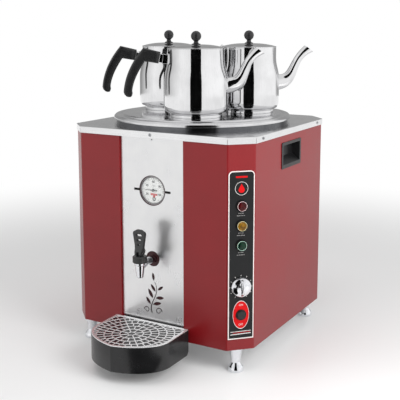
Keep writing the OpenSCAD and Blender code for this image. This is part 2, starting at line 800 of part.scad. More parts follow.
module lamp_lens(i) {
  at_panel() translate([0, -plate_t - barrel_out + 3, lamp_z + i * lamp_pitch]) rotate([90, 0, 0])
    rotate_extrude() polygon(concat([[0, -8], [lens_d / 2, -8], [lens_d / 2, 0], [lens_d / 2 + 0.8, 0]],
      [for (a = [0 : 15 : 90]) [(lens_d / 2 + 0.8) * cos(a), 2 + 3 * sin(a)]]));
}

module lamp_red() { color("red") lamp_lens(2); }
module lamp_amber() { color("orange") lamp_lens(1); }
module lamp_green() { color("green") lamp_lens(0); }

module oval_label() {
  color("firebrick") at_panel() difference() {
    translate([0, -plate_t, button_z]) rotate([90, 0, 0]) linear_extrude(0.8)
      scale([label_w / label_h, 1]) circle(d = label_h);
    bar_y(button_d + 3 + seat_gap, -3 * plate_t, cut, button_z);
  }
}

module button_switch() {
  face = -plate_t - 0.8;
  color("black") at_panel() difference() {
    union() {
      bar_y(button_d + 6, face - bezel_out, face, button_z);
      bar_y(button_d + 3, face - 1, sheet + 6, button_z);
      translate([-14, sheet + 6, button_z - 12]) cube([28, 24, 24]);
    }
    bar_y(button_d + 0.6, face - bezel_out - cut, sheet + 6, button_z);
  }
}

module push_button() {
  cap = button_out + sheet + 7.2 - button_travel;
  color("black") at_panel() translate([0, sheet + 5 - button_travel, button_z]) rotate([90, 0, 0])
    rotate_extrude() polygon([[0, 0], [button_d / 2, 0], [button_d / 2, cap - 1.6],
      [button_d / 2 - 1.5, cap], [0, cap]]);
}

// Distance and side step from the panel to the tank's axis
tank_v = (chamfer_x - chamfer_y) / sqrt(2);
tank_u = -(chamfer_x + chamfer_y) / sqrt(2);
bulb_y = tank_v - sqrt(pow(tank_r + 5, 2) - tank_u * tank_u);

// Capillary thermostat: switch body with bush, capillary and bulb
module thermostat() {
  bend = 12;
  color("lightsteelblue") at_panel() translate([0, 0, knob_z]) difference() {
    union() {
      translate([-17, sheet, -19]) cube([34, 30, 38]);
      bar_y(shaft_d + 3.6, -plate_t, sheet);
      translate([0, sheet + 30, -8]) rotate([-90, 0, 0]) cylinder(d = 2.4, h = bulb_y - bend - sheet - 30);
      translate([0, bulb_y - bend, bend - 8]) rotate([0, 90, 0]) rotate_extrude(angle = 90)
        translate([bend, 0]) circle(d = 2.4, $fn = 24);
      translate([0, bulb_y, bend - 8]) cylinder(d = 7, h = 56);
    }
    bar_y(shaft_d + 2 * run_gap, -3 * plate_t, 20);
  }
}

module thermostat_shaft() {
  color("silver") at_panel() bar_y(shaft_d, -plate_t - knob_h + 5, 18, knob_z);
}

module thermostat_knob() {
  r = knob_d / 2;
  color("silver") at_panel() translate([0, -plate_t - 0.6, knob_z]) difference() {
    union() {
      rotate([90, 0, 0]) rotate_extrude() polygon(concat([[0, 0], [r, 0], [r, 3], [r - 1.5, 5]],
        [for (i = [0 : 6]) let(a = 15 * i) [(r - 3) * cos(a), 5 + 4 * sin(a)]]));
      intersection() {
        translate([-4.5, -knob_h, -r + 2]) cube([9, knob_h, knob_d - 4]);
        rotate([90, 0, 0]) rotate_extrude() polygon(concat(
          [[0, 0], [r - 2, 0]],
          [for (i = [0 : 6]) let(a = 15 * i) [r - 8 + 6 * cos(a), knob_h - 6 + 6 * sin(a)]],
          [[0, knob_h]]));
      }
    }
    bar_y(shaft_d, -knob_h + 5.6, cut);
  }
}

// ---------- drip tray ----------

// Plan of the tray, moved inwards by d; the back edge lies on y = 0
module tray_plan(d) {
  intersection() {
    offset(delta = -d) offset(r = 16) offset(r = -16) polygon([
      [-tray_w / 2, 20], [-tray_w / 2, -tray_side], [-tray_nose, 7 - tray_out], [0, -tray_out],
      [tray_nose, 7 - tray_out], [tray_w / 2, -tray_side], [tray_w / 2, 20]]);
    translate([-tray_w, -2 * tray_out - d]) square([2 * tray_w, 2 * tray_out]);
  }
}

module at_tray() { at_body() translate([0, rim_y, tray_z]) children(); }

module tray_form(d, floor_h) {
  hull() {
    translate([0, 0, floor_h]) linear_extrude(1) tray_plan(d + 6);
    translate([0, 0, floor_h + 9]) linear_extrude(tray_h + cut - floor_h - 9) tray_plan(d);
  }
}

module drip_tray() {
  color("dimgray") at_tray() difference() {
    intersection() {
      tray_form(0, 0);
      translate([0, 0, tray_h / 2]) cube([2 * tray_w, 3 * tray_out, tray_h], center = true);
    }
    tray_form(tray_wall, tray_wall);
    translate([0, 0, tray_h - grid_seat]) linear_extrude(grid_seat + cut) tray_plan(tray_wall / 2);
  }
}

// Slots of the pressed grid: rings round its middle, each slot between two straight bars
module grid_slots() {
  bar = 3.1;
  pitch = 10.6;
  for (ring = [[14, 5], [33, 7], [56, 7], [79, 7], [102, 7]])
    let(n = round(2 * PI * ring[0] / pitch), inner = ring[0] - ring[1], outer = ring[0] + ring[1])
    for (i = [0 : n - 1]) translate([0, -tray_out / 2]) rotate((i + 0.5) * 360 / n)
      let(a = PI * inner / n - bar / 2, b = PI * outer / n - bar / 2)
      polygon([[-a, inner], [a, inner], [b, outer], [-b, outer]]);
}

module tray_grid() {
  inset = tray_wall / 2 + seat_gap / 2;
  color("gainsboro") at_tray() translate([0, 0, tray_h - grid_seat]) {
    linear_extrude(grid_t) difference() {
      tray_plan(inset);
      intersection() {
        grid_slots();
        tray_plan(inset + 5);
      }
    }
    linear_extrude(grid_seat) difference() {
      tray_plan(inset);
      tray_plan(inset + 1.2);
    }
  }
}

// Bent strip from under the base plate to under the tray
module tray_bracket() {
  drop = foot_h - tray_z;
  nose = 50 - tray_out;
  bend = 24;
  back = bend + 36;
  color("darkgray") at_body() translate([-tongue_w / 2, front_y, tray_z]) rotate([90, 0, 90])
    linear_extrude(tongue_w) polygon([
      [nose, -bracket_t], [bend + bracket_t, -bracket_t], [bend + bracket_t, drop - bracket_t],
      [back, drop - bracket_t], [back, drop], [bend, drop], [bend, 0], [nose, 0]]);
}

// ---------- teapots ----------

module at_pot(i) {
  at_body() translate([pot_places[i][0], pot_places[i][1], lid_z]) rotate(pot_places[i][2]) children();
}

// Outline of a pot's body for a wall moved inwards by d, from the foot up to the mouth
function pot_side(d) = concat(
  [for (i = [0 : 8]) cubic([[pot_foot_d / 2 - 2 - d, pot_foot_h + d], [pot_r - 5 - d, pot_foot_h + d],
    [pot_r - d, 2 * pot_foot_h], [pot_r - d, 4.2 * pot_foot_h]], i / 8)],
  [for (i = [0 : 6]) cubic([[pot_r - d, neck_z - 6], [pot_r - d, neck_z + 3],
    [neck_r - d, neck_z], [neck_r - d, neck_z + 14]], i / 6)],
  [[neck_r - d, pot_h]]);

module pot_vessel(i) {
  foot_r = pot_foot_d / 2;
  side = pot_side(pot_wall);
  color("lightgray") at_pot(i) difference() {
    union() {
      rotate_extrude() polygon(concat(
        [[0, pot_foot_h], [foot_r - 4, pot_foot_h], [foot_r - 4, 0], [foot_r, 0], [foot_r, 6],
         [foot_r - 2, 8]],
        pot_side(0),
        [for (k = [len(side) - 1 : -1 : 0]) side[k]],
        [[0, pot_foot_h + pot_wall]]));
      difference() {
        translate([0, grip_w / 2, 0]) rotate([90, 0, 0]) linear_extrude(grip_w)
          polygon([[-60, 131.5], arm_end(0.08), arm_end(0.92), [-60, 111]]);
        cylinder(r = neck_r - pot_wall / 2, h = 2 * pot_h);
      }
    }
    for (p = [[0, 68], [7, 61], [-7, 61], [7, 75], [-7, 75]])
      translate([40, p[0], p[1]]) rotate([0, 90, 0]) cylinder(d = 4.5, h = 40, $fn = 24);
  }
}

// Lower and upper edge of the spout, and its half width along them
spout_edges = [
  [[58, 47], [128.3, 52.8], [92.5, 113.7], [146.1, 133.9]],
  [[58, 85], [97.5, 75], [84.3, 111.6], [126.8, 148]]];
spout_wides = [[0, 16], [0.2, 12.9], [0.4, 10.6], [0.6, 8.9], [0.8, 8.2], [1, 9]];

module pot_spout(i) {
  wall = 8 - spout_bore / 2 - 0.5;
  color("silver") at_pot(i) difference() {
    loft(tube(spout_edges, spout_wides, 0, 16, 1, 16));
    loft(tube(spout_edges, spout_wides, wall, 16, 1.03, 16));
    cylinder(r = pot_r, h = pot_h);
  }
}

// Upper and lower end of the handle's arm, and outer and inner edge of its grip
arm = [[-75.8, 137.6], [-80.6, 113.2]];
grip_edges = [
  [[-112.5, 146.4], [-132, 124], [-152, 92], [-155.4, 52.6]],
  [[-109.1, 118], [-121, 100], [-134.5, 78], [-137.1, 54.6]]];
function arm_end(k) = arm[0] + k * (arm[1] - arm[0]);

module pot_handle(i) {
  half = grip_w / 2;
  k = 16;
  flat = 0.7;
  color("black") at_pot(i) loft(concat(
    [ring(arm[0], arm[1], half, k, flat)],
    tube(grip_edges, [[0, half], [1, half - 1]], 0, 10, 1, k, flat),
    [ring([-153.5, 47], [-136.3, 49.5], half - 1.4, k, flat),
     ring([-149.5, 43], [-137.5, 44.3], half - 2.5, k, flat),
     ring([-146, 41.5], [-140, 41.6], half - 4, k, flat)]));
}

module pot_lid(i) {
  rim_r = neck_r + 0.6;
  plug_r = neck_r - pot_wall - seat_gap;
  crown = pot_h + pot_lid_rise + pot_wall;
  color("lightgray") at_pot(i) difference() {
    rotate_extrude() polygon(concat(
      [[0, crown], [11, crown]],
      [for (k = [0 : 6]) let(t = k / 6)
        [11 + (plug_r - 14) * t, crown - (pot_lid_rise - 1.5) * pow(t, 2.2)]],
      [[rim_r - 0.6, pot_h + 1.6], [rim_r, pot_h + 1], [rim_r, pot_h], [plug_r, pot_h],
       [plug_r, pot_h - 5], [plug_r - 1, pot_h - 5], [plug_r - 1, pot_h + 0.6]],
      [for (k = [6 : -1 : 0]) let(t = k / 6)
        [11 + (plug_r - 14) * t, crown - pot_wall - (pot_lid_rise - 1.5) * pow(t, 2.2)]],
      [[0, crown - pot_wall]]));
    translate([0, 0, pot_h]) cylinder(d = 4.2, h = 20);
    translate([neck_r - 16, 0, pot_h]) cylinder(d = 3, h = 20, $fn = 24);
  }
}

module pot_knob(i) {
  crown = pot_h + pot_lid_rise + pot_wall;
  r = ball_d / 2;
  color("black") at_pot(i) rotate_extrude() polygon(concat(
    [[0, crown - 4], [2, crown - 4], [2, crown], [10, crown], [9.5, crown + 1.5], [7.2, crown + 4],
     [5.4, crown + 7]],
    arc(0, ball_z, r, -62, 90, 14)));
}

module front_pot_vessel() { pot_vessel(0); }
module front_pot_spout() { pot_spout(0); }
module front_pot_handle() { pot_handle(0); }
module front_pot_lid() { pot_lid(0); }
module front_pot_knob() { pot_knob(0); }
module left_pot_vessel() { pot_vessel(1); }
module left_pot_spout() { pot_spout(1); }
module left_pot_handle() { pot_handle(1); }
module left_pot_lid() { pot_lid(1); }
module left_pot_knob() { pot_knob(1); }
module right_pot_vessel() { pot_vessel(2); }
module right_pot_spout() { pot_spout(2); }
module right_pot_handle() { pot_handle(2); }
module right_pot_lid() { pot_lid(2); }
module right_pot_knob() { pot_knob(2); }

base_plate();
left_side_panel();
right_side_panel();
rear_panel();
inner_front_panel();
front_plate();
top_cover();
cover_screws();
feet();
cable_gland();
terminal_block();
water_tank();
tank_stand();
tank_insulation();
heating_element();
thermostat();
thermostat_shaft();
thermostat_knob();
panel_frame();
control_panel();
lamp_barrels();
lamp_red();
lamp_amber();
lamp_green();
oval_label();
button_switch();
push_button();
gauge_case();
gauge_dial();
gauge_pointer();
gauge_lens();
tap_body();
tap_nut();
tap_bonnet();
valve_stem();
seat_cup();
valve_spring();
lever_pin();
tap_lever();
left_handle();
right_handle();
tray_bracket();
drip_tray();
tray_grid();
tank_lid();
front_pot_vessel();
front_pot_spout();
front_pot_handle();
front_pot_lid();
front_pot_knob();
left_pot_vessel();
left_pot_spout();
left_pot_handle();
left_pot_lid();
left_pot_knob();
right_pot_vessel();
right_pot_spout();
right_pot_handle();
right_pot_lid();
right_pot_knob();
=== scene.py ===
import json
import math
import bmesh
import bpy
from mathutils import Matrix, Vector


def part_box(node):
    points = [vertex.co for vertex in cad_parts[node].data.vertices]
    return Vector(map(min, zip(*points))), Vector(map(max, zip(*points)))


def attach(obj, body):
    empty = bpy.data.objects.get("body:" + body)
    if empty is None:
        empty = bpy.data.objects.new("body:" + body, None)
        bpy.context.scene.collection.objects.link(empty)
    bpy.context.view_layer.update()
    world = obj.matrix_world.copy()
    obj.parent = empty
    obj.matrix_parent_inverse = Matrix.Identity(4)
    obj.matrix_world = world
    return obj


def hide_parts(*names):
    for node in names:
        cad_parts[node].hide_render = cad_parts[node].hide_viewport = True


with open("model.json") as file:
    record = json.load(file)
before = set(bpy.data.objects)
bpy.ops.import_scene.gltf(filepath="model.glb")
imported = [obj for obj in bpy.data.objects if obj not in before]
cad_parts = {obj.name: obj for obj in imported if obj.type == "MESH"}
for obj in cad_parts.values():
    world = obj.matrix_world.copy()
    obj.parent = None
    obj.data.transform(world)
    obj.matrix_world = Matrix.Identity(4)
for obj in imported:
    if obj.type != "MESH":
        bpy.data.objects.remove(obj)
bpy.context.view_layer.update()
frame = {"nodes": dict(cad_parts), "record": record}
record = frame["record"]
bodyOf = {node: body for body, nodes in record["behaviour"]["bodies"].items() for node in nodes}
mm = 0.001


def middle(node):
    low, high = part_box(node)
    return (Vector(low) + Vector(high)) / 2


bodyY = middle("top_cover").y                    # the tray shifts the casing's middle from the origin
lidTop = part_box("tank_lid")[1][2]
print("frame loaded:", len(frame["nodes"]), "nodes")


def linear(hexValue):
    parts = [int(hexValue[i:i + 2], 16) / 255 for i in (1, 3, 5)]
    return tuple(c / 12.92 if c <= 0.04045 else ((c + 0.055) / 1.055) ** 2.4 for c in parts) + (1.0,)


def addNode(tree, kind, settings=None, links=None):
    made = tree.nodes.new(kind)
    for key, value in (settings or {}).items():
        if isinstance(key, str) and hasattr(made, key):
            setattr(made, key, value)
        else:
            made.inputs[key].default_value = value
    for key, source in (links or {}).items():
        tree.links.new(source, made.inputs[key])
    return made


# what several finishes share
metal = {"Metallic": 1.0}
clearLens = {"rough": (0.1, 0.16), "grainMm": 2.2, "cloudMm": 6, "grainShare": 0.3, "depthMm": 0.01,
             "shader": {"IOR": 1.58, "Specular IOR Level": 0.2}}
frostedRim = {"rough": (0.2, 0.3), "grainMm": 1.0, "cloudMm": 5, "grainShare": 0.4, "depthMm": 0.01,
              "shader": {"IOR": 1.55, "Subsurface Weight": 0.1}}
paleInk = {"rough": (0.35, 0.45), "grainMm": 0.8, "cloudMm": 9, "grainShare": 0.4, "depthMm": 0.004}

# One entry for each finish. colours run from dark to light, rough from the smooth to the dull patches,
# grainMm is the size of the fine pattern and cloudMm of the slow one, grainShare (0.5 where it isn't given)
# says how much of the colour comes from the fine one, depthMm is its relief, stretch draws its grain out.
surfaces = {
    # polyester powder baked on sheet steel: even colour, a soft gloss broken by a fine orange peel
    "burgundyPowderCoat": {
        "colours": ("#78080f", "#7e0a12"), "rough": (0.33, 0.38), "grainMm": 2.6, "cloudMm": 60,
        "depthMm": 0.05,
        "shader": {"IOR": 1.5, "Specular IOR Level": 0.45, "Coat Weight": 0.12, "Coat Roughness": 0.2}},
    # the same powder on the inner sheet, its colour painted darker as the shade behind the front plate, and
    # duller
    "shadedPowderCoat": {
        "colours": ("#2c060c", "#3a0810"), "rough": (0.45, 0.55), "grainMm": 2.6, "cloudMm": 40,
        "grainShare": 0.4, "depthMm": 0.05, "shader": {"IOR": 1.5}},
    # 304 sheet, belt brushed upwards: pale, with long soft streaks; the real grain of 0.1 mm is drawn 1.6 mm
    "brushedStainlessFront": {
        "colours": ("#e2e2e3", "#e8e8e8"), "rough": (0.27, 0.32), "grainMm": 1.6, "cloudMm": 45,
        "grainShare": 0.2, "depthMm": 0.002, "stretch": (1, 1, 0.02), "shader": metal},
    # 304 sheet brushed across: the cover, greyer where it faces the ceiling
    "brushedStainlessCover": {
        "colours": ("#e2e2e3", "#ededee"), "rough": (0.17, 0.25), "grainMm": 1.6, "cloudMm": 55,
        "depthMm": 0.005, "stretch": (0.02, 1, 1), "shader": metal},
    # rolled and welded 304 that runs round the tank: a mill finish, its colour painted dark as the shade
    # under the lid's rim
    "shadedRolledStainless": {
        "colours": ("#55565a", "#707173"), "rough": (0.12, 0.22), "grainMm": 1.4, "cloudMm": 40,
        "depthMm": 0.008, "stretch": (1, 1, 0.06), "shader": metal},
    # deep-drawn 304, mirror buffed: sharp reflections that sway a little
    "mirrorBuffedStainless": {
        "colours": ("#dededf", "#eaeaeb"), "rough": (0.035, 0.075), "grainMm": 2.4, "cloudMm": 38,
        "grainShare": 0.25, "depthMm": 0.003, "stretch": (1, 1, 0.1), "shader": metal},
    # spun 304 buffed on the lathe: the pan lid, mirror-like with a slight bloom
    "spunStainless": {
        "colours": ("#d3d3d5", "#e2e2e3"), "rough": (0.1, 0.16), "grainMm": 3.0, "cloudMm": 50,
        "grainShare": 0.3, "depthMm": 0.004, "shader": metal},
    # nickel-chrome plating on turned brass: cooler and sharper than the steel
    "chromePlatedBrass": {
        "colours": ("#e0e2e6", "#eeeff2"), "rough": (0.03, 0.07), "grainMm": 1.2, "cloudMm": 9,
        "grainShare": 0.3, "depthMm": 0.002, "shader": metal},
    # chrome over a moulded grid: bright, a little rippled, milky beside the solid metals
    "castChromeGrid": {
        "colours": ("#ececed", "#f4f4f5"), "rough": (0.2, 0.3), "grainMm": 1.6, "cloudMm": 14,
        "grainShare": 0.4, "depthMm": 0.01, "shader": {"Metallic": 0.7}},
    # chrome over moulded ABS on the knob: a shade softer than the plated brass
    "satinChrome": {
        "colours": ("#dfe0e3", "#ecedf0"), "rough": (0.09, 0.14), "grainMm": 1.2, "cloudMm": 9,
        "grainShare": 0.3, "depthMm": 0.002, "shader": metal},
    # compression-moulded phenolic: near black with a satin skin that shows a broad pale sheen
    "mouldedPhenolic": {
        "colours": ("#131314", "#1b1b1c"), "rough": (0.3, 0.4), "grainMm": 0.9, "cloudMm": 18,
        "depthMm": 0.012, "shader": {"IOR": 1.55, "Coat Weight": 0.15, "Coat Roughness": 0.3}},
    # injection-moulded glass-filled nylon: charcoal, spark-eroded grain, soft highlights
    "mouldedNylon": {
        "colours": ("#232424", "#2e2f2f"), "rough": (0.34, 0.44), "grainMm": 0.8, "cloudMm": 14,
        "depthMm": 0.03, "shader": {"IOR": 1.53}},
    # injection-moulded ABS: black, a little glossier on the raised grain
    "mouldedBlackAbs": {
        "colours": ("#111112", "#1b1b1c"), "rough": (0.34, 0.46), "grainMm": 0.8, "cloudMm": 20,
        "depthMm": 0.025, "shader": {"IOR": 1.5}},
    # the same ABS in charcoal with a coarser grain, on the drip tray
    "mouldedCharcoalAbs": {
        "colours": ("#161617", "#1f1f20"), "rough": (0.2, 0.28), "grainMm": 1.1, "cloudMm": 25,
        "depthMm": 0.02, "shader": {"IOR": 1.5, "Specular IOR Level": 0.45}},
    # screen-printed polycarbonate overlay: charcoal with a fine velvet texture
    "printedPolycarbonate": {
        "colours": ("#121314", "#1a1b1c"), "rough": (0.3, 0.38), "grainMm": 0.7, "cloudMm": 30,
        "depthMm": 0.01, "shader": {"IOR": 1.58, "Specular IOR Level": 0.2}},
    # silver-lacquered aluminium strip: pale satin with a faint drawn line
    "lacqueredAluminium": {
        "colours": ("#e6dedb", "#f2ebe8"), "rough": (0.3, 0.4), "grainMm": 0.9, "cloudMm": 20,
        "depthMm": 0.008, "stretch": (1, 1, 0.1), "shader": {"Metallic": 0.25, "Specular IOR Level": 0.6}},
    # cold-headed stainless screws and pins: greyer and duller than the buffed steel
    "headedStainless": {
        "colours": ("#a3a5a8", "#c0c1c3"), "rough": (0.24, 0.38), "grainMm": 1.0, "cloudMm": 5,
        "depthMm": 0.01, "shader": metal},
    # zinc-plated pressed steel: bluish with a dull spangle
    "zincPlatedSteel": {
        "colours": ("#9aa2a8", "#b9c0c4"), "rough": (0.3, 0.45), "grainMm": 2.0, "cloudMm": 8,
        "depthMm": 0.01, "shader": metal},
    # drawn heater tube, dulled by hot water
    "drawnHeaterTube": {
        "colours": ("#6b6d6e", "#8f9192"), "rough": (0.35, 0.5), "grainMm": 1.5, "cloudMm": 12,
        "depthMm": 0.02, "shader": metal},
    # turned brass nut: yellow with turning marks
    "turnedBrass": {
        "colours": ("#b58a3c", "#d2ab5e"), "rough": (0.22, 0.34), "grainMm": 0.6, "cloudMm": 6,
        "depthMm": 0.01, "stretch": (1, 0.1, 1), "shader": metal},
    # pressed steatite: ivory, slightly chalky
    "pressedSteatite": {
        "colours": ("#cbc5b0", "#dcd6c4"), "rough": (0.35, 0.5), "grainMm": 0.9, "cloudMm": 12,
        "depthMm": 0.02, "shader": {"IOR": 1.6}},
    # moulded silicone: milky and dull
    "mouldedSilicone": {
        "colours": ("#cfd0cb", "#e0e1dd"), "rough": (0.5, 0.6), "grainMm": 0.8, "cloudMm": 6, "depthMm": 0.01,
        "shader": {"IOR": 1.41}},
    # pressed rock wool: tangled ochre fibres, drawn 1.5 mm coarse
    "pressedRockWool": {
        "colours": ("#8f7638", "#b89b58"), "rough": (0.9, 1.0), "grainMm": 1.5, "cloudMm": 25,
        "grainShare": 0.8, "depthMm": 0.7, "stretch": (1, 1, 3), "shader": {"Sheen Weight": 0.3}},
    # moulded polycarbonate lenses: clear colour, deeper where the wall is thick
    "redPolycarbonate": {**clearLens, "colours": ("#1d0103", "#480709")},
    "amberPolycarbonate": {**clearLens, "colours": ("#4c3304", "#8a620d")},
    "greenPolycarbonate": {**clearLens, "colours": ("#02140c", "#08301e")},
    # frosted rims of the lamps: the same resin with white filler, glowing in the lens's colour
    "frostedPinkRim": {**frostedRim, "colours": ("#d9b5b5", "#ecd0cf")},
    "frostedCreamRim": {**frostedRim, "colours": ("#ddcc96", "#efe3b8")},
    "frostedMintRim": {**frostedRim, "colours": ("#a9cdb8", "#c8e2d2")},
    # screen-printed inks: flat colour with a slightly broken edge to the gloss
    "redScreenInk": {
        "colours": ("#bd0208", "#cf070c"), "rough": (0.3, 0.4), "grainMm": 0.8, "cloudMm": 12,
        "grainShare": 0.4, "depthMm": 0.004, "shader": {"IOR": 1.5, "Specular IOR Level": 0.2}},
    "paleScreenInk": {**paleInk, "colours": ("#cbc8c6", "#dfdcda"), "shader": {"IOR": 1.5}},
    "greyScreenInk": {
        **paleInk, "colours": ("#7d7b7a", "#939190"), "shader": {"IOR": 1.5, "Specular IOR Level": 0.2}},
    "blackDialInk": {
        "colours": ("#0f0f0f", "#1b1b1b"), "rough": (0.4, 0.5), "grainMm": 0.6, "cloudMm": 6,
        "grainShare": 0.4, "depthMm": 0.003, "shader": {"IOR": 1.5}},
    # stoved white enamel of the dial: even and softly glossy
    "stovedWhiteEnamel": {
        "colours": ("#e9e9e6", "#f3f3f1"), "rough": (0.22, 0.3), "grainMm": 1.4, "cloudMm": 14,
        "grainShare": 0.4, "depthMm": 0.004, "shader": {"IOR": 1.52}},
    # moulded rubber round the lamps: dead black; the same black paints the shade in the gap and slots round
    # the gauge
    "blackRubberAndShade": {
        "colours": ("#050505", "#0c0c0c"), "rough": (0.7, 0.85), "grainMm": 0.8, "cloudMm": 8,
        "depthMm": 0.02, "shader": {"IOR": 1.5}},
    # thin float glass of the gauge: nearly unseen, a faint gloss a touch uneven where it has been wiped
    "floatGlass": {
        "colours": ("#e9efef", "#f4f8f8"), "rough": (0.0, 0.03), "grainMm": 3.0, "cloudMm": 12,
        "grainShare": 0.3, "depthMm": 0.001, "shader": {"IOR": 1.52, "Alpha": 0.12}},
}


leastNoise, mostNoise = 0.36, 0.64               # most of a noise's values lie between these
reliefStrength = 0.5


def makeSurface(name, values):
    material = bpy.data.materials.new(name)
    material.use_nodes = True
    tree = material.node_tree
    tree.nodes.clear()
    where = addNode(tree, "ShaderNodeTexCoord").outputs["Object"]
    drawn = addNode(tree, "ShaderNodeMapping", {"Scale": values.get("stretch", (1, 1, 1))}, {"Vector": where})
    grain = addNode(tree, "ShaderNodeTexNoise", {"Scale": 1 / (values["grainMm"] * mm)},
                    {"Vector": drawn.outputs[0]}).outputs[0]
    cloud = addNode(tree, "ShaderNodeTexNoise", {"Scale": 1 / (values["cloudMm"] * mm)},
                    {"Vector": where}).outputs[0]
    both = addNode(tree, "ShaderNodeMix", {0: values.get("grainShare", 0.5)}, {2: cloud, 3: grain}).outputs[0]
    share = addNode(tree, "ShaderNodeMapRange", {1: leastNoise, 2: mostNoise}, {0: both}).outputs[0]
    dark, light = values["colours"]
    colour = addNode(tree, "ShaderNodeMix", {"data_type": "RGBA", 6: linear(dark), 7: linear(light)},
                     {0: share}).outputs[2]
    low, high = values["rough"]
    rough = addNode(tree, "ShaderNodeMapRange", {3: low, 4: high}, {0: share}).outputs[0]
    relief = addNode(tree, "ShaderNodeBump", {"Strength": reliefStrength, "Distance": values["depthMm"] * mm},
                     {"Height": grain}).outputs[0]
    shader = addNode(tree, "ShaderNodeBsdfPrincipled", values["shader"],
                     {"Base Color": colour, "Roughness": rough, "Normal": relief})
    addNode(tree, "ShaderNodeOutputMaterial", None, {"Surface": shader.outputs[0]})
    return material


looks = {name: makeSurface(name, values) for name, values in surfaces.items()}
plainLooks = {                                   # nodes that keep their CAD shape; the others get plainSteel
    "gauge_dial": "stovedWhiteEnamel", "gauge_lens": "floatGlass", "cable_gland": "mouldedBlackAbs",
    "terminal_block": "pressedSteatite", "tank_stand": "shadedRolledStainless", "seat_cup": "mouldedSilicone",
    "tank_insulation": "pressedRockWool", "heating_element": "drawnHeaterTube", "tap_nut": "turnedBrass",
    "thermostat": "zincPlatedSteel",
}
plainSteel = "headedStainless"
for name, node in frame["nodes"].items():
    node.data.materials.clear()
    node.data.materials.append(looks[plainLooks.get(name, plainSteel)])
print("finishes made:", len(looks))


merging = {"newM": 1e-6, "cadM": 2e-6}           # vertices closer than this are one, in metres
folding = {
    "smoothDeg": 38,                             # folds under this are shaded smooth
    "flatDeg": 1,                                # facets that fold by less than this become one face
    "bendDeg": (30, 60), "bendLongM": 0.2,       # upright folds of the sheet, which get a bend radius
    "cornerDeg": 50,                             # edges sharper than this are broken
}


def bevelled(bm, edges, offsetMm, segments=3, clamp=False):
    bmesh.ops.bevel(bm, geom=edges, offset=offsetMm * mm, affect="EDGES", segments=segments, profile=0.5,
                    material=-1, clamp_overlap=clamp)


def vertsOf(geom):
    return [g for g in geom if isinstance(g, bmesh.types.BMVert)]


def newSince(before, geom):
    return [g for g in geom if g not in before]


def pushed(bm, faces, upMm):
    # extrudes faces straight up or down and returns the moved ones
    made = bmesh.ops.extrude_face_region(bm, geom=faces)["geom"]
    bmesh.ops.translate(bm, vec=(0, 0, upMm * mm), verts=vertsOf(made))
    return [g for g in made if isinstance(g, bmesh.types.BMFace)]


def finishPiece(bm, name, look, body, nodes=(), sharpDeg=folding["smoothDeg"]):
    bmesh.ops.remove_doubles(bm, verts=bm.verts, dist=merging["newM"])
    bmesh.ops.recalc_face_normals(bm, faces=bm.faces)
    for edge in bm.edges:
        edge.smooth = len(edge.link_faces) == 2 and edge.calc_face_angle(0.0) < math.radians(sharpDeg)
    for face in bm.faces:
        face.smooth = True
    mesh = bpy.data.meshes.new(name)
    bm.to_mesh(mesh)
    bm.free()
    mesh.materials.append(looks[look])
    piece = bpy.data.objects.new(name, mesh)
    bpy.context.scene.collection.objects.link(piece)
    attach(piece, body)
    if nodes:
        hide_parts(*nodes)
    return piece


def copied(node):
    bm = bmesh.new()
    bm.from_mesh(frame["nodes"][node].data)
    bmesh.ops.remove_doubles(bm, verts=bm.verts, dist=merging["cadM"])
    return bm


def longBend(edge):
    least, most = [math.radians(a) for a in folding["bendDeg"]]
    tall = abs(edge.verts[0].co.z - edge.verts[1].co.z) > folding["bendLongM"]
    return tall and least < edge.calc_face_angle(0.0) < most


def carried(node, look, edgeMm=0.0, segments=2, bendMm=0.0, bends=longBend):
    # a copy of a CAD node, with its folds and edges rounded as a press and a deburring wheel leave them
    bm = copied(node)
    bmesh.ops.dissolve_limit(bm, angle_limit=math.radians(folding["flatDeg"]), verts=bm.verts, edges=bm.edges)
    if bendMm:
        folds = [e for e in bm.edges if len(e.link_faces) == 2 and bends(e)]
        bevelled(bm, folds, bendMm, 5)
    if edgeMm:
        sharp = math.radians(folding["cornerDeg"])
        corners = [e for e in bm.edges if len(e.link_faces) == 2 and e.calc_face_angle(0.0) > sharp]
        bevelled(bm, corners, edgeMm, segments, True)
    piece = finishPiece(bm, node + "Skin", look, bodyOf[node], (node,))
    piece.modifiers.new("evenNormals", "WEIGHTED_NORMAL").keep_sharp = True


def softened(node, look, voxelMm, rounds, sharpDeg=70.0):
    # a CAD node remeshed and smoothed, for moulded or cast shapes whose edges all run into one another
    bm = copied(node)
    mesh = bpy.data.meshes.new("rough")
    bm.to_mesh(mesh)
    bm.free()
    rough = bpy.data.objects.new("rough", mesh)
    bpy.context.scene.collection.objects.link(rough)
    voxels = rough.modifiers.new("voxels", "REMESH")
    voxels.mode = "VOXEL"
    voxels.voxel_size = voxelMm * mm
    made = rough.evaluated_get(bpy.context.evaluated_depsgraph_get())
    fine = bmesh.new()
    fine.from_mesh(made.to_mesh())
    bpy.data.objects.remove(rough)
    bpy.data.meshes.remove(mesh)
    for _ in range(rounds):
        bmesh.ops.smooth_vert(fine, verts=fine.verts, factor=0.5, use_axis_x=True, use_axis_y=True,
                              use_axis_z=True)
    finishPiece(fine, node + "Skin", look, bodyOf[node], (node,), sharpDeg=sharpDeg)


def rounded(points, steps=5):
    # an outline with its corners rounded: each point is (r, z) or (r, z, reach of the corner's curve), in mm
    made = []
    for i, point in enumerate(points):
        radius = point[2] if len(point) > 2 else 0.0
        here = Vector(point[:2])
        if not radius or i in (0, len(points) - 1):
            made.append(here)
            continue
        before = Vector(points[i - 1][:2]) - here
        after = Vector(points[i + 1][:2]) - here
        reach = radius / math.tan(before.angle(after) / 2)
        first = here + before.normalized() * reach
        last = here + after.normalized() * reach
        for k in range(steps + 1):
            t = k / steps
            made.append((1 - t) ** 2 * first + 2 * t * (1 - t) * here + t * t * last)
    return made


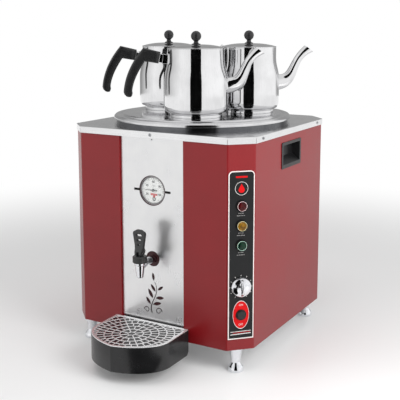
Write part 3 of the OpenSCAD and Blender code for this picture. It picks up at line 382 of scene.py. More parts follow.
def lathe(bm, outline, place, steps=96, closed=False):
    # spins an outline of (r, z) points in mm about the Z axis of place
    verts = [bm.verts.new(place @ Vector((p[0] * mm, 0, p[1] * mm))) for p in outline]
    edges = [bm.edges.new(pair) for pair in zip(verts, verts[1:])]
    if closed:
        edges.append(bm.edges.new((verts[-1], verts[0])))
    bmesh.ops.spin(bm, geom=verts + edges, cent=place.translation, axis=place.col[2].to_3d(), angle=math.tau,
                   steps=steps, use_merge=True, use_duplicate=False)
    bmesh.ops.remove_doubles(bm, verts=bm.verts, dist=merging["newM"])


def turned(name, outline, place, look, body, nodes=(), steps=96, closed=False):
    bm = bmesh.new()
    lathe(bm, outline, place, steps, closed)
    finishPiece(bm, name, look, body, nodes)


def facing(centre, outward):
    # a place whose Z points out of an upright face, with X to the right and Y up for who looks at it
    out = Vector(outward).normalized()
    right = Vector((0, 0, 1)).cross(out)
    turn = Matrix((right, (0, 0, 1), out)).transposed().to_4x4()
    return Matrix.Translation(centre) @ turn


def moved(place, x, y, z=0.0):
    # a spot on the face of place, in mm
    return place @ Matrix.Translation((x * mm, y * mm, z * mm))


def upright(x, y, z=0.0):
    return Matrix.Translation((x, y, z))


# casing: folded sheet, so the folds get a bend radius and the cut edges a small break
def makeCasing():
    casing = {"bendMm": 2.2, "breakMm": 0.35, "coverBendMm": 1.3, "coverBreakMm": 0.25, "steelBreakMm": 0.25,
              "screwBreakMm": 0.15, "cupMm": 0.5, "coverBendLongM": 0.03}
    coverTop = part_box("top_cover")[1][2]

    def coverFold(edge):
        onTop = all(v.co.z > coverTop - 0.01 * mm for v in edge.verts)
        return onTop and edge.calc_length() > casing["coverBendLongM"]

    for node in ("left_side_panel", "right_side_panel"):
        carried(node, "burgundyPowderCoat", casing["breakMm"], 2, casing["bendMm"])
    carried("rear_panel", "burgundyPowderCoat", casing["breakMm"])
    # the inner sheet takes the darker copy of the paint: painted shade behind the front plate
    carried("inner_front_panel", "shadedPowderCoat", casing["breakMm"])
    carried("front_plate", "brushedStainlessFront", casing["steelBreakMm"])
    carried("top_cover", "brushedStainlessCover", casing["coverBreakMm"], 2, casing["coverBendMm"], coverFold)
    carried("base_plate", "brushedStainlessCover", casing["steelBreakMm"])
    carried("cover_screws", "headedStainless", casing["screwBreakMm"])
    for node in ("left_handle", "right_handle"):
        carried(node, "mouldedBlackAbs", casing["cupMm"], 3)


makeCasing()
print("casing made")


def makeFeet():
    foot = {"outline": [(0, 0), (15.0, 0, 0), (16.5, 0.6, 0.5), (16.5, 5.0, 1.5), (15.4, 9.5, 4.0),
                        (11.4, 15.5, 4.0), (9.4, 19.0, 3.0), (12.6, 42.0, 3.0), (14.2, 48.5, 1.0),
                        (14.2, 51.0), (4.0, 51.0), (4.0, 63.4), (3.4, 64.0), (0, 64.0)],
            "steps": 64}
    low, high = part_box("feet")
    inset = max(p[0] for p in foot["outline"]) * mm
    bm = bmesh.new()
    for x in (low[0] + inset, high[0] - inset):
        for y in (low[1] + inset, high[1] - inset):
            lathe(bm, rounded(foot["outline"]), upright(x, y), foot["steps"])
    finishPiece(bm, "bellFeet", "chromePlatedBrass", "urn", ("feet",))


makeFeet()


def makeTankLid():
    # flat top, a groove, a rolled bead, the skirt and the lip that drops into the collar
    lid = {"rimR": 198.5, "flatR": 178.0, "lipR": 191.1, "rimLow": -12.0, "seat": -9.0, "lipDeep": 3.0,
           "underBead": -7.4, "wall": 1.5, "steps": 180}
    r, flat, lip, wall = lid["rimR"], lid["flatR"], lid["lipR"], lid["wall"]
    low, seat = lid["rimLow"], lid["seat"]
    lipLow = seat - lid["lipDeep"]
    outer = [(0, 0), (flat - 1.5, 0, 1.0), (flat + 1.0, -1.4, 1.5), (flat + 3.4, -5.6, 1.2),
             (flat + 7.4, -3.2, 2.5), (r - 3.6, -2.9, 3.0), (r, -7.0, 3.0), (r, low + 0.6, 0.4),
             (r - 0.7, low)]
    inner = [(r - wall, low), (r - wall, seat), (lip, seat), (lip, lipLow), (lip - wall, lipLow),
             (lip - wall, lid["underBead"]), (flat - 2, -wall), (0, -wall)]
    turned("spunTankLid", rounded(outer + inner, 6), upright(0, bodyY, lidTop), "spunStainless", "lid",
           ("tank_lid",), lid["steps"])


makeTankLid()
# the collar's steel is painted dark: shade under the lid's rim
carried("water_tank", "shadedRolledStainless", edgeMm=0.3)
print("feet and tank made")


def cubicPoint(p, t):
    a, b, c, d = [Vector(q) for q in p]
    return (1 - t) ** 3 * a + 3 * t * (1 - t) ** 2 * b + 3 * t * t * (1 - t) * c + t ** 3 * d


def hoop(bm, first, last, half, power, place, segments=32):
    # a ring of vertices that spans from one point to the other of the pot's middle plane, in mm
    ring = bmesh.ops.create_circle(bm, segments=segments, radius=1.0)["verts"]
    centre, reach = (first + last) / 2, (last - first) / 2
    for vert in ring:
        angle = math.atan2(vert.co.y, vert.co.x)
        u = abs(math.cos(angle)) ** power * math.copysign(1, math.cos(angle))
        v = abs(math.sin(angle)) ** power * math.copysign(1, math.sin(angle))
        spot = centre + u * reach
        vert.co = place @ (Vector((spot.x, half * v, spot.y)) * mm)
    return ring


def ringEdges(ring):
    members = set(ring)
    touching = {e for v in ring for e in v.link_edges}
    return [e for e in touching if e.verts[0] in members and e.verts[1] in members]


def skinned(bm, rings, caps=()):
    for first, second in zip(rings, rings[1:]):
        bmesh.ops.bridge_loops(bm, edges=ringEdges(first) + ringEdges(second))
    for ring in caps:
        bmesh.ops.contextual_create(bm, geom=ring)


def tubeRings(bm, edges, halves, inset, span, count, power, place):
    # rings along a tube whose upper and lower edges are two curves; halves gives its half width along the way
    made = []
    for i in range(count + 1):
        t = span[0] + (span[1] - span[0]) * i / count
        a, b = cubicPoint(edges[0], t), cubicPoint(edges[1], t)
        way = (b - a).normalized() * inset
        k = next(j for j in range(1, len(halves)) if t <= halves[j][0] or j == len(halves) - 1)
        (t0, h0), (t1, h1) = halves[k - 1], halves[k]
        made.append(hoop(bm, a + way, b - way, h0 + (h1 - h0) * (t - t0) / (t1 - t0) - inset, power, place))
    return made


pot = {
    "turns": {"front": 29.8, "left": 41.8, "right": 34.8},       # direction of each spout in degrees
    "bodyR": 68.2, "neckR": 61.0, "footR": 56.0, "footH": 9.0, "mouth": 145.0, "wall": 1.2,
    "shoulder": (70, 98, 100, 126),                              # heights of the step from belly to neck
    "lidRise": 7.0, "ballR": 11.0, "ballZ": 171.0,
    "spoutEdges": [[(58, 47), (128.3, 52.8), (92.5, 113.7), (146.1, 133.9)],
                   [(58, 85), (97.5, 75), (84.3, 111.6), (126.8, 148)]],
    "spoutHalves": [(0, 16), (0.2, 12.9), (0.4, 10.6), (0.6, 8.9), (0.8, 8.2), (1, 9)],
    "spoutWall": 1.3, "spoutRings": 44, "boreRings": 16, "boreEnd": 0.6, "seamR": 65.6,
    "armEnd": [(-75.8, 137.6), (-80.6, 113.2)],
    "gripEdges": [[(-112.5, 146.4), (-132, 124), (-152, 92), (-155.4, 52.6)],
                  [(-109.1, 118), (-121, 100), (-134.5, 78), (-137.1, 54.6)]],
    "gripHalf": 8.0, "gripRings": 22, "armSteps": (0.03, 0.35, 0.7),
    "gripSquare": 0.4,                                           # a lower power makes a ring squarer
    # upper point, lower point and half width of the rings that close the handle's end
    "gripTip": [((-153.5, 47), (-136.3, 49.5), 6.6), ((-149.5, 43), (-137.5, 44.3), 5.5),
                ((-146, 41.5), (-140, 41.6), 4)],
    # the same for the chrome ferrule, from the neck to the handle
    "ferrule": [((-59.6, 131.6), (-59.6, 112.6), 7.4), ((-69.4, 134.0), (-71.6, 112.6), 7.4),
                ((-69.9, 132.2), (-72.1, 114.4), 6.2), ((-75.4, 134.4), (-79.0, 115.6), 6.2)],
    "ferruleSquare": 0.22, "steps": 128, "ballSteps": 64,
}


def potOutline(inward, steps=14):
    r, neck, low = pot["bodyR"] - inward, pot["neckR"] - inward, pot["footH"]
    belly = [(pot["footR"] - inward, low + inward), (r - 3, low + inward), (r, low + 4), (r, low + 18)]
    step = list(zip((r, r, neck, neck), pot["shoulder"]))
    return [cubicPoint(curve, i / steps) for curve in (belly, step) for i in range(steps + 1)]


def makeVessel(which, centre, place):
    foot, mouth, wall, neck, low = pot["footR"], pot["mouth"], pot["wall"], pot["neckR"], pot["footH"]
    bm = bmesh.new()
    outline = rounded([(0, low), (foot - 4, low, 1.0), (foot - 4, 0.3, 0.3), (foot - 3.4, 0, 0.2),
                       (foot - 0.6, 0, 0.3), (foot, 0.6, 0.3), (foot, 5.6, 0.4), (foot - 0.8, 6.6, 0.5),
                       (foot - 2, 8, 0.4)])
    outline += potOutline(0)
    outline += rounded([(neck, mouth - 6), (neck, mouth, 0.6), (neck - wall, mouth, 0.5),
                        (neck - wall, mouth - 6)], 4)
    outline += potOutline(wall)[::-1] + [(0, low + wall)]
    lathe(bm, outline, centre, pot["steps"])
    square = pot["ferruleSquare"]
    rings = [hoop(bm, Vector(a), Vector(b), half, square, place) for a, b, half in pot["ferrule"]]
    skinned(bm, rings, (rings[0], rings[-1]))
    finishPiece(bm, which + "PotVessel", "mirrorBuffedStainless", which + "_pot", (which + "_pot_vessel",))


def makeSpout(which, centre, place):
    bm = bmesh.new()
    edges, halves = pot["spoutEdges"], pot["spoutHalves"]
    outer = tubeRings(bm, edges, halves, 0.0, (0.0, 1.0), pot["spoutRings"], 1.0, place)
    inner = tubeRings(bm, edges, halves, pot["spoutWall"], (1.0, pot["boreEnd"]), pot["boreRings"], 1.0,
                      place)
    axis, seam = centre.translation, pot["seamR"] * mm
    for vert in sum(outer[:4], []):                      # the root stays inside the vessel's wall
        flat = Vector((vert.co.x - axis.x, vert.co.y - axis.y))
        if flat.length < seam:
            flat = flat.normalized() * seam
            vert.co.x, vert.co.y = axis.x + flat.x, axis.y + flat.y
    skinned(bm, outer + inner, (inner[-1],))
    finishPiece(bm, which + "PotSpout", "mirrorBuffedStainless", which + "_pot", (which + "_pot_spout",),
                sharpDeg=60.0)


def makeGrip(which, place):
    bm = bmesh.new()
    half, square = pot["gripHalf"], pot["gripSquare"]
    upper, lower = [Vector(p) for p in pot["armEnd"]]
    rings = [hoop(bm, upper, lower, half - 0.8, square, place)]
    nearer = [Vector(pot["gripEdges"][k][0]) for k in (0, 1)]
    for t in pot["armSteps"]:
        rings.append(hoop(bm, upper.lerp(nearer[0], t), lower.lerp(nearer[1], t), half, square, place))
    rings += tubeRings(bm, pot["gripEdges"], [(0, half), (1, half - 1)], 0.0, (0.0, 1.0), pot["gripRings"],
                       square, place)
    rings += [hoop(bm, Vector(a), Vector(b), tip, square, place) for a, b, tip in pot["gripTip"]]
    skinned(bm, rings, (rings[0], rings[-1]))
    finishPiece(bm, which + "PotHandle", "mouldedPhenolic", which + "_pot", (which + "_pot_handle",),
                sharpDeg=40.0)


def makePotLid(which, centre):
    mouth, wall, neck, rise = pot["mouth"], pot["wall"], pot["neckR"], pot["lidRise"]
    crown, rim, plug = mouth + rise + wall, neck + 0.6, neck - wall - 0.4
    dome = [Vector((11 + (plug - 14) * i / 14, crown - (rise - 1.5) * (i / 14) ** 2.2)) for i in range(15)]
    outline = [(0, crown)] + dome
    outline += rounded([dome[-1], (rim - 1.4, mouth + 1.7, 0.8), (rim, mouth + 1.3, 0.5), (rim, mouth, 0.3),
                        (plug, mouth), (plug, mouth - 5, 0.3), (plug - 1, mouth - 5),
                        (plug - 1, mouth + 0.6)])[1:]
    outline += [(p.x, p.y - wall) for p in dome[::-1]] + [(0, crown - wall)]
    turned(which + "PotLid", outline, centre, "mirrorBuffedStainless", which + "_pot_cover",
           (which + "_pot_lid",), pot["steps"])

    ball, ballZ = pot["ballR"], pot["ballZ"]
    outline = rounded([(0, crown - 4), (2, crown - 4), (2, crown), (9.6, crown), (9.4, crown + 1.3, 0.6),
                       (5.6, crown + 2.6, 1.4), (4.6, crown + 6.4, 1.0)])
    arc = [math.radians(a) for a in range(-60, 91, 5)]
    outline += [(ball * abs(math.cos(a)), ballZ + ball * math.sin(a)) for a in arc]
    outline[-1] = (0, ballZ + ball)
    turned(which + "PotKnob", outline, centre, "mouldedPhenolic", which + "_pot_cover",
           (which + "_pot_knob",), pot["ballSteps"])


for which, turnDeg in pot["turns"].items():
    knob = middle(which + "_pot_knob")
    centre = upright(knob.x, knob.y, lidTop)
    place = centre @ Matrix.Rotation(math.radians(turnDeg), 4, "Z")
    makeVessel(which, centre, place)
    makeSpout(which, centre, place)
    makeGrip(which, place)
    makePotLid(which, centre)
print("teapots made")


def makeTap():
    tap = {"nozzle": [(3.9, 189.6), (4.2, 189.0, 0.2), (6.4, 189.0, 0.6), (7.0, 190.2, 0.6),
                      (10.4, 215.0, 1.5), (11.4, 217.2, 0.8), (11.4, 221.0), (11.0, 221.0), (11.0, 231.0),
                      (0, 231.0)],
           "bore": [(0, 222.0), (3.9, 222.0)],
           "shank": [(0, 8), (10.5, 8, 1.0), (10.2, 10, 1.0), (8.0, 24, 3.0), (8.0, 92), (0, 92)],
           "shankZ": 216, "steps": 96, "shankSteps": 64, "breakMm": 0.25, "leverVoxelMm": 0.45,
           "leverRounds": 5}
    axis = middle("tap_bonnet")
    bm = bmesh.new()
    lathe(bm, tap["bore"] + rounded(tap["nozzle"]), upright(axis.x, axis.y), tap["steps"])
    root = facing((axis.x, axis.y, tap["shankZ"] * mm), (0, 1, 0))
    lathe(bm, rounded(tap["shank"]), root, tap["shankSteps"])
    finishPiece(bm, "tapBody", "chromePlatedBrass", "urn", ("tap_body",))
    carried("tap_bonnet", "mouldedNylon", tap["breakMm"])
    softened("tap_lever", "mouldedNylon", tap["leverVoxelMm"], tap["leverRounds"])


makeTap()

tray = {
    "half": 91.0, "side": 73.0, "backCorner": 2.0, "backStraight": 8.0, "curveSteps": 18,
    "cornerPull": [(89, -113), (56, -138.5)],                    # the corner is drawn towards these
    "top": 78.6, "foot": 25.0, "floor": 36.0, "under": 33.4, "wall": 2.2, "footR": 1.0, "rimR": 0.5,
    "backCut": 4.0,                                              # how much of the skirt the bracket passes
}
grid = {
    "top": 80.0, "lip": (0.5, 6.2), "lipThick": 1.35, "lipR": 0.6, "overlap": 0.8,
    "barWide": 2.5, "barThick": 1.2, "barR": 0.58, "barDown": 0.5, "leastOpen": 1.15,
    "rings": (8, 24, 40, 56, 72, 88, 104, 120), "cells": (8, 16, 24, 32, 48, 48, 48), "steps": 96,
    "middleY": -76.0,
}
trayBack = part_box("drip_tray")[1][1]


def trayOutline(inset):
    # half of the plan from the back to the prow, then its mirror image, in mm from the middle of the back
    depth = (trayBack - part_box("drip_tray")[0][1]) / mm
    half = tray["half"] - inset
    pulls = [(x - inset, y + inset * 0.6) for x, y in tray["cornerPull"]]
    curve = [(half, -tray["side"])] + pulls + [(0, inset - depth)]
    corner, straight, steps = tray["backCorner"], tray["backStraight"], tray["curveSteps"]
    right = [(half - corner, -inset), (half, -corner - inset), (half, -straight - inset)]
    right += [tuple(cubicPoint(curve, i / steps)) for i in range(steps + 1)]
    return right + [(-x, y) for x, y in right[-2::-1]]


def plateOf(bm, inset, z):
    verts = [bm.verts.new((x * mm, trayBack + y * mm, z * mm)) for x, y in trayOutline(inset)]
    return bmesh.ops.contextual_create(bm, geom=verts)["faces"]


def foldsWhere(edges, fits, leastAngle=1.0):
    # the edges that fold by more than a radian, and whose two ends are at heights that fit
    return [e for e in edges if e.calc_face_angle(0) > leastAngle and all(fits(v.co.z) for v in e.verts)]


def makeTray():
    top, foot, under, wall = tray["top"], tray["foot"], tray["under"], tray["wall"]
    bm = bmesh.new()
    upper = pushed(bm, plateOf(bm, 0.0, foot), top - foot)
    bmesh.ops.recalc_face_normals(bm, faces=bm.faces)
    bmesh.ops.inset_region(bm, faces=upper, thickness=wall * mm, use_even_offset=True)
    pushed(bm, upper, tray["floor"] - top)
    lower = [f for f in bm.faces if all(abs(v.co.z - foot * mm) < merging["newM"] for v in f.verts)]
    bmesh.ops.inset_region(bm, faces=lower, thickness=wall * mm, use_even_offset=True)
    pushed(bm, lower, under - foot)
    bmesh.ops.recalc_face_normals(bm, faces=bm.faces)
    for vert in bm.verts:                                # the skirt is cut away at the back, for the bracket
        if vert.co.z < (foot + 1) * mm and vert.co.y > trayBack - tray["backCut"] * mm:
            vert.co.z = (under - 0.2) * mm
    bevelled(bm, foldsWhere(bm.edges, lambda z: z < (foot + 1) * mm), tray["footR"])
    bevelled(bm, foldsWhere(bm.edges, lambda z: z > (top - 0.1) * mm), tray["rimR"])
    finishPiece(bm, "dripTraySkin", "mouldedCharcoalAbs", "tray", ("drip_tray",), sharpDeg=18.0)


def makeGrid():
    rings, steps, lip, thick = grid["rings"], grid["steps"], grid["lip"], grid["lipThick"]
    bm = bmesh.new()
    hub = upright(0, trayBack + grid["middleY"] * mm, (grid["top"] - grid["barThick"] - grid["barDown"]) * mm)
    lathe(bm, [(r, 0) for r in rings], hub, steps)
    spare, inner = [], []
    for edge in bm.edges:
        spots = [v.co - hub.translation for v in edge.verts]
        near, far = sorted(spot.length / mm for spot in spots)
        if far - near > 1:                               # a spoke: only every few of them stay, as bars
            cells = grid["cells"][min(range(len(rings)), key=lambda k: abs(rings[k] - near))]
            step = round(math.atan2(spots[0].y, spots[0].x) / math.tau * steps)
            if step % (steps // cells):
                spare.append(edge)
        elif far < rings[0] + 1:
            inner.append(edge)
    bmesh.ops.contextual_create(bm, geom=inner)
    bmesh.ops.dissolve_edges(bm, edges=spare, use_verts=False)
    plan = [Vector((x * mm, trayBack + y * mm, 0)) for x, y in trayOutline(lip[1] - grid["overlap"])]
    for a, b in zip(plan, plan[1:] + plan[:1]):          # trimmed to the plan, one side of it after another
        out = (b - a).cross(Vector((0, 0, 1)))
        if out.dot(hub.translation - a) > 0:
            out.negate()
        bmesh.ops.bisect_plane(bm, geom=bm.verts[:] + bm.edges[:] + bm.faces[:], plane_co=a, plane_no=out,
                               clear_outer=True)
    openings = [f for f in bm.faces if f.calc_area() / f.calc_perimeter() > grid["leastOpen"] * mm]
    bmesh.ops.inset_individual(bm, faces=openings, thickness=grid["barWide"] / 2 * mm, use_even_offset=True)
    bmesh.ops.delete(bm, geom=openings, context="FACES")
    pushed(bm, bm.faces[:], grid["barThick"])
    bmesh.ops.recalc_face_normals(bm, faces=bm.faces)
    high = max(v.co.z for v in bm.verts)
    bevelled(bm, foldsWhere(bm.edges, lambda z: z > high - merging["newM"]), grid["barR"])

    before = set(bm.faces)                               # the flat rim round the bars
    sheet = plateOf(bm, lip[0], grid["top"] - thick)
    bmesh.ops.inset_region(bm, faces=sheet, thickness=(lip[1] - lip[0]) * mm, use_even_offset=True,
                           use_boundary=True)
    bmesh.ops.delete(bm, geom=sheet, context="FACES")
    pushed(bm, newSince(before, bm.faces), thick)
    fresh = newSince(before, bm.faces)
    bmesh.ops.recalc_face_normals(bm, faces=fresh)
    bevelled(bm, foldsWhere({e for f in fresh for e in f.edges}, lambda z: z > high), grid["lipR"])
    finishPiece(bm, "trayGridSkin", "castChromeGrid", "grid", ("tray_grid",), sharpDeg=45.0)


makeTray()
makeGrid()
carried("tray_bracket", "brushedStainlessCover", edgeMm=0.2)
print("tap and tray made")


def addBar(bm, place, x, y, width, height, depth, turnDeg=0.0):
    # a flat bar that stands on the face of place, in mm
    size = Matrix.Diagonal((width * mm, height * mm, depth * mm, 1))
    turn = Matrix.Rotation(math.radians(turnDeg), 4, "Z")
    bmesh.ops.create_cube(bm, size=1.0, matrix=moved(place, x, y, depth / 2) @ turn @ size)


def addHoop(bm, place, x, y, outerR, innerR, depth, tall=1.0, steps=64):
    # a flat ring; tall stretches it upwards into an oval
    outline = [(innerR, 0), (outerR, 0), (outerR, depth), (innerR, depth)]
    before = set(bm.verts)
    lathe(bm, outline, Matrix.Identity(4), steps, True)
    spot = moved(place, x, y) @ Matrix.Diagonal((1, tall, 1, 1))
    bmesh.ops.transform(bm, matrix=spot, verts=newSince(before, bm.verts))


fontPerCapital = 1.4                             # a font's size over the height of its capitals


def addText(bm, place, words, x, y, heightMm, depth, boldMm=0.0):
    # letters made a mesh, centred on a spot of the face
    curve = bpy.data.curves.new("words", "FONT")
    curve.body = words
    curve.size = heightMm * fontPerCapital * mm
    curve.extrude = depth * mm / 2
    curve.offset = boldMm * mm
    curve.align_x = "CENTER"
    curve.align_y = "CENTER"
    curve.resolution_u = 3
    holder = bpy.data.objects.new("words", curve)
    bpy.context.scene.collection.objects.link(holder)
    made = holder.evaluated_get(bpy.context.evaluated_depsgraph_get()).to_mesh()
    before = set(bm.verts)
    bm.from_mesh(made)
    bpy.data.objects.remove(holder)
    bpy.data.curves.remove(curve)
    bmesh.ops.transform(bm, matrix=moved(place, x, y, depth / 2), verts=newSince(before, bm.verts))


panel = {"lampZ": {"green": 270, "amber": 310, "red": 350}, "knobZ": 184, "labelZ": 126, "faceOut": 0.9}
outward = Vector((1, -1, 0)).normalized()
panelPlace = facing(middle("control_panel") + outward * panel["faceOut"] * mm, outward)   # the overlay's face
panelZ = panelPlace.translation.z / mm


def onPanel(heightMm):
    # how far above the panel's middle a height over the floor is
    return heightMm - panelZ


def makeLamps():
    lamp = {"rims": {"green": "frostedMintRim", "amber": "frostedCreamRim", "red": "frostedPinkRim"},
            "barrel": [(0, 0), (11.4, 0), (11.4, 3.0, 0.6), (10.4, 4.2, 0.6), (10.2, 5.4), (9.0, 5.4),
                       (9.0, 2.0), (7.0, 2.0), (7.0, -20), (0, -20)],
            "rim": [(9.4, 4.4), (9.9, 5.4, 0.2), (9.8, 6.6, 0.3), (9.4, 6.9, 0.2), (9.1, 6.4, 0.2),
                    (9.1, 4.2)],
            "lens": [(0, -10), (6.0, -10), (6.0, 2.0), (9.2, 2.0), (9.2, 5.4), (8.2, 5.9, 1.0),
                     (4.4, 6.9, 2.0), (0, 7.2)],
            "steps": 64}
    steps = lamp["steps"]
    barrels = bmesh.new()
    for colour, height in panel["lampZ"].items():
        place = moved(panelPlace, 0, onPanel(height))
        lathe(barrels, rounded(lamp["barrel"]), place, steps)
        turned(colour + "LampLens", rounded(lamp["lens"]), place, colour + "Polycarbonate", "urn",
               ("lamp_" + colour,), steps)
        turned(colour + "LampRim", rounded(lamp["rim"]), place, lamp["rims"][colour], "urn", (), steps, True)
    finishPiece(barrels, "lampBarrels", "blackRubberAndShade", "urn", ("lamp_barrels",))


def makePrints():
    prints = {"ink": 0.06, "bar": (24, 3.6), "barZ": 408, "ringZ": 385, "ringR": 13.5, "ringW": 0.8,
              "dropR": 6.4, "dropDown": 2.4, "dropTall": 5.4, "dropTaper": 0.72, "dropSteps": 48,
              "captions": ((3.0, 1.6, 4.2), (3.6, 2.2, 4.6, 2.8)), "captionX": -1.0, "captionDown": 15.0,
              "rowDown": 4.8, "dashTall": 1.3, "dashGap": 1.1,
              "marksR": 23.5, "mark": (2.6, 0.9), "markDegs": range(-60, 241, 30), "ribbonZ": 88,
              # ink, x, height over ribbonZ, width, height and turn of each band
              "ribbon": (("pale", 0.0, 2.8, 43, 1.2, 0.8), ("red", 2.0, 0.4, 36, 1.0, 1.6),
                         ("pale", 0.0, -2.6, 43, 1.7, 1.4))}
    ink, gap = prints["ink"], prints["dashGap"]
    red, pale, grey = bmesh.new(), bmesh.new(), bmesh.new()
    addBar(red, panelPlace, 0, onPanel(prints["barZ"]), *prints["bar"], ink)
    # a drop in a ring, for hot water
    ringY, r = onPanel(prints["ringZ"]), prints["dropR"] * mm
    addHoop(pale, panelPlace, 0, ringY, prints["ringR"], prints["ringR"] - prints["ringW"], ink)
    before = set(red.verts)
    drop = bmesh.ops.create_circle(red, cap_ends=True, segments=prints["dropSteps"],
                                   radius=r)["verts"]
    for vert in drop:
        if vert.co.y > 0:
            lift = vert.co.y / r
            vert.co.x *= 1 - prints["dropTaper"] * lift ** 1.5
            vert.co.y += prints["dropTall"] * mm * lift ** 2
    pushed(red, list({f for v in drop for f in v.link_faces}), ink)
    bmesh.ops.transform(red, matrix=moved(panelPlace, 0, ringY - prints["dropDown"]),
                        verts=newSince(before, red.verts))
    for height in panel["lampZ"].values():               # two rows of dashes caption each lamp
        for k, dashes in enumerate(prints["captions"]):
            y = onPanel(height) - prints["captionDown"] - prints["rowDown"] * k
            x = prints["captionX"] - (sum(dashes) + gap * (len(dashes) - 1)) / 2
            for dash in dashes:
                addBar(grey, panelPlace, x + dash / 2, y, dash, prints["dashTall"], ink)
                x += dash + gap
    knobY, r = onPanel(panel["knobZ"]), prints["marksR"]
    for a in prints["markDegs"]:                         # scale round the thermostat knob
        way = math.radians(a)
        addBar(pale, panelPlace, r * math.cos(way), knobY + r * math.sin(way), *prints["mark"], ink, a)
    for which, x, up, width, height, turnDeg in prints["ribbon"]:             # along the foot of the panel
        bm = {"red": red, "pale": pale}[which]
        addBar(bm, panelPlace, x, onPanel(prints["ribbonZ"]) + up, width, height, ink, turnDeg)
    finishPiece(red, "redPanelPrint", "redScreenInk", "urn")
    finishPiece(pale, "palePanelPrint", "paleScreenInk", "urn")
    finishPiece(grey, "lampCaptions", "greyScreenInk", "urn")


def makeSwitchLabel():
    label = {"outerR": 17.25, "rim": 0.7, "tall": 59 / 34.5, "thick": 0.8, "ink": 0.06, "textMm": 4.0,
             "textUp": 20.5, "edgeMm": 0.1, "box": (28, 24, 24), "boxBack": -36,
             "bezel": [(9.3, -12), (9.3, 2.4, 0.3), (9.9, 2.9, 0.4), (10.9, 2.2, 0.6), (11.1, 0), (10.5, 0),
                       (10.5, -12)], "bezelSteps": 72}
    ink = label["ink"]
    carried("oval_label", "redScreenInk", label["edgeMm"])
    face = moved(panelPlace, 0, onPanel(panel["labelZ"]), label["thick"])
    edge, words, bm = bmesh.new(), bmesh.new(), bmesh.new()
    addHoop(edge, face, 0, 0, label["outerR"], label["outerR"] - label["rim"], ink, label["tall"])
    finishPiece(edge, "ovalLabelEdge", "paleScreenInk", "urn")
    addText(words, face, "ON", 0, label["textUp"], label["textMm"], ink)
    addText(words, face, "OFF", 0, -label["textUp"], label["textMm"], ink)
    finishPiece(words, "onOffPrint", "paleScreenInk", "urn")
    lathe(bm, rounded(label["bezel"]), face, label["bezelSteps"], True)
    addBar(bm, moved(face, 0, 0, label["boxBack"]), 0, 0, *label["box"])
    finishPiece(bm, "buttonSwitchSkin", "mouldedBlackAbs", "urn", ("button_switch",))


carried("control_panel", "printedPolycarbonate", edgeMm=0.25)
carried("panel_frame", "lacqueredAluminium", edgeMm=0.4)
makeLamps()
makePrints()
makeSwitchLabel()
carried("push_button", "mouldedBlackAbs", edgeMm=0.3)


def makeThermostatKnob():
    # a plated dome with a narrow upright grip that stands out of it
    knob = {"dome": [(0, 0), (20.6, 0), (21.0, 0.6, 0.4), (20.8, 3.0, 1.0), (19.0, 6.6, 4.0),
                     (12.5, 10.6, 8.0), (5.0, 12.0, 4.0), (0, 12.1)],
            "gripLong": 18.6, "gripOut": 19.4, "gripWide": 5.4, "gripFrom": 2.0, "gripSteps": 72,
            "edgeMm": 2.1, "edgeDeg": 60, "lift": 0.6, "steps": 96}
    place = moved(panelPlace, 0, onPanel(panel["knobZ"]), knob["lift"])
    wide = knob["gripWide"]
    bm = bmesh.new()
    bmesh.ops.create_circle(bm, cap_ends=True, segments=knob["gripSteps"], radius=mm,
                            matrix=Matrix.Diagonal((knob["gripOut"], knob["gripLong"], 1, 1)))
    pushed(bm, bm.faces[:], wide)
    bmesh.ops.recalc_face_normals(bm, faces=bm.faces)
    rims = [e for e in bm.edges if e.calc_face_angle(0.0) > math.radians(knob["edgeDeg"])]
    bevelled(bm, rims, knob["edgeMm"], 5)
    bmesh.ops.translate(bm, vec=(0, 0, -wide / 2 * mm), verts=bm.verts)
    outwards = Matrix(((0, 0, 1, 0), (0, 1, 0, 0), (1, 0, 0, 0), (0, 0, 0, 1)))      # its X points outwards
    bmesh.ops.transform(bm, matrix=outwards, verts=bm.verts)
    cut = bmesh.ops.bisect_plane(bm, geom=bm.verts[:] + bm.edges[:] + bm.faces[:], plane_no=(0, 0, 1),
                                 plane_co=(0, 0, knob["gripFrom"] * mm), clear_inner=True)
    bmesh.ops.contextual_create(bm, geom=[g for g in cut["geom_cut"] if isinstance(g, bmesh.types.BMEdge)])
    bmesh.ops.transform(bm, matrix=place, verts=bm.verts)
    lathe(bm, rounded(knob["dome"]), place, knob["steps"])
    finishPiece(bm, "thermostatKnobSkin", "satinChrome", "knob", ("thermostat_knob",), sharpDeg=50.0)


makeThermostatKnob()
print("control panel made")


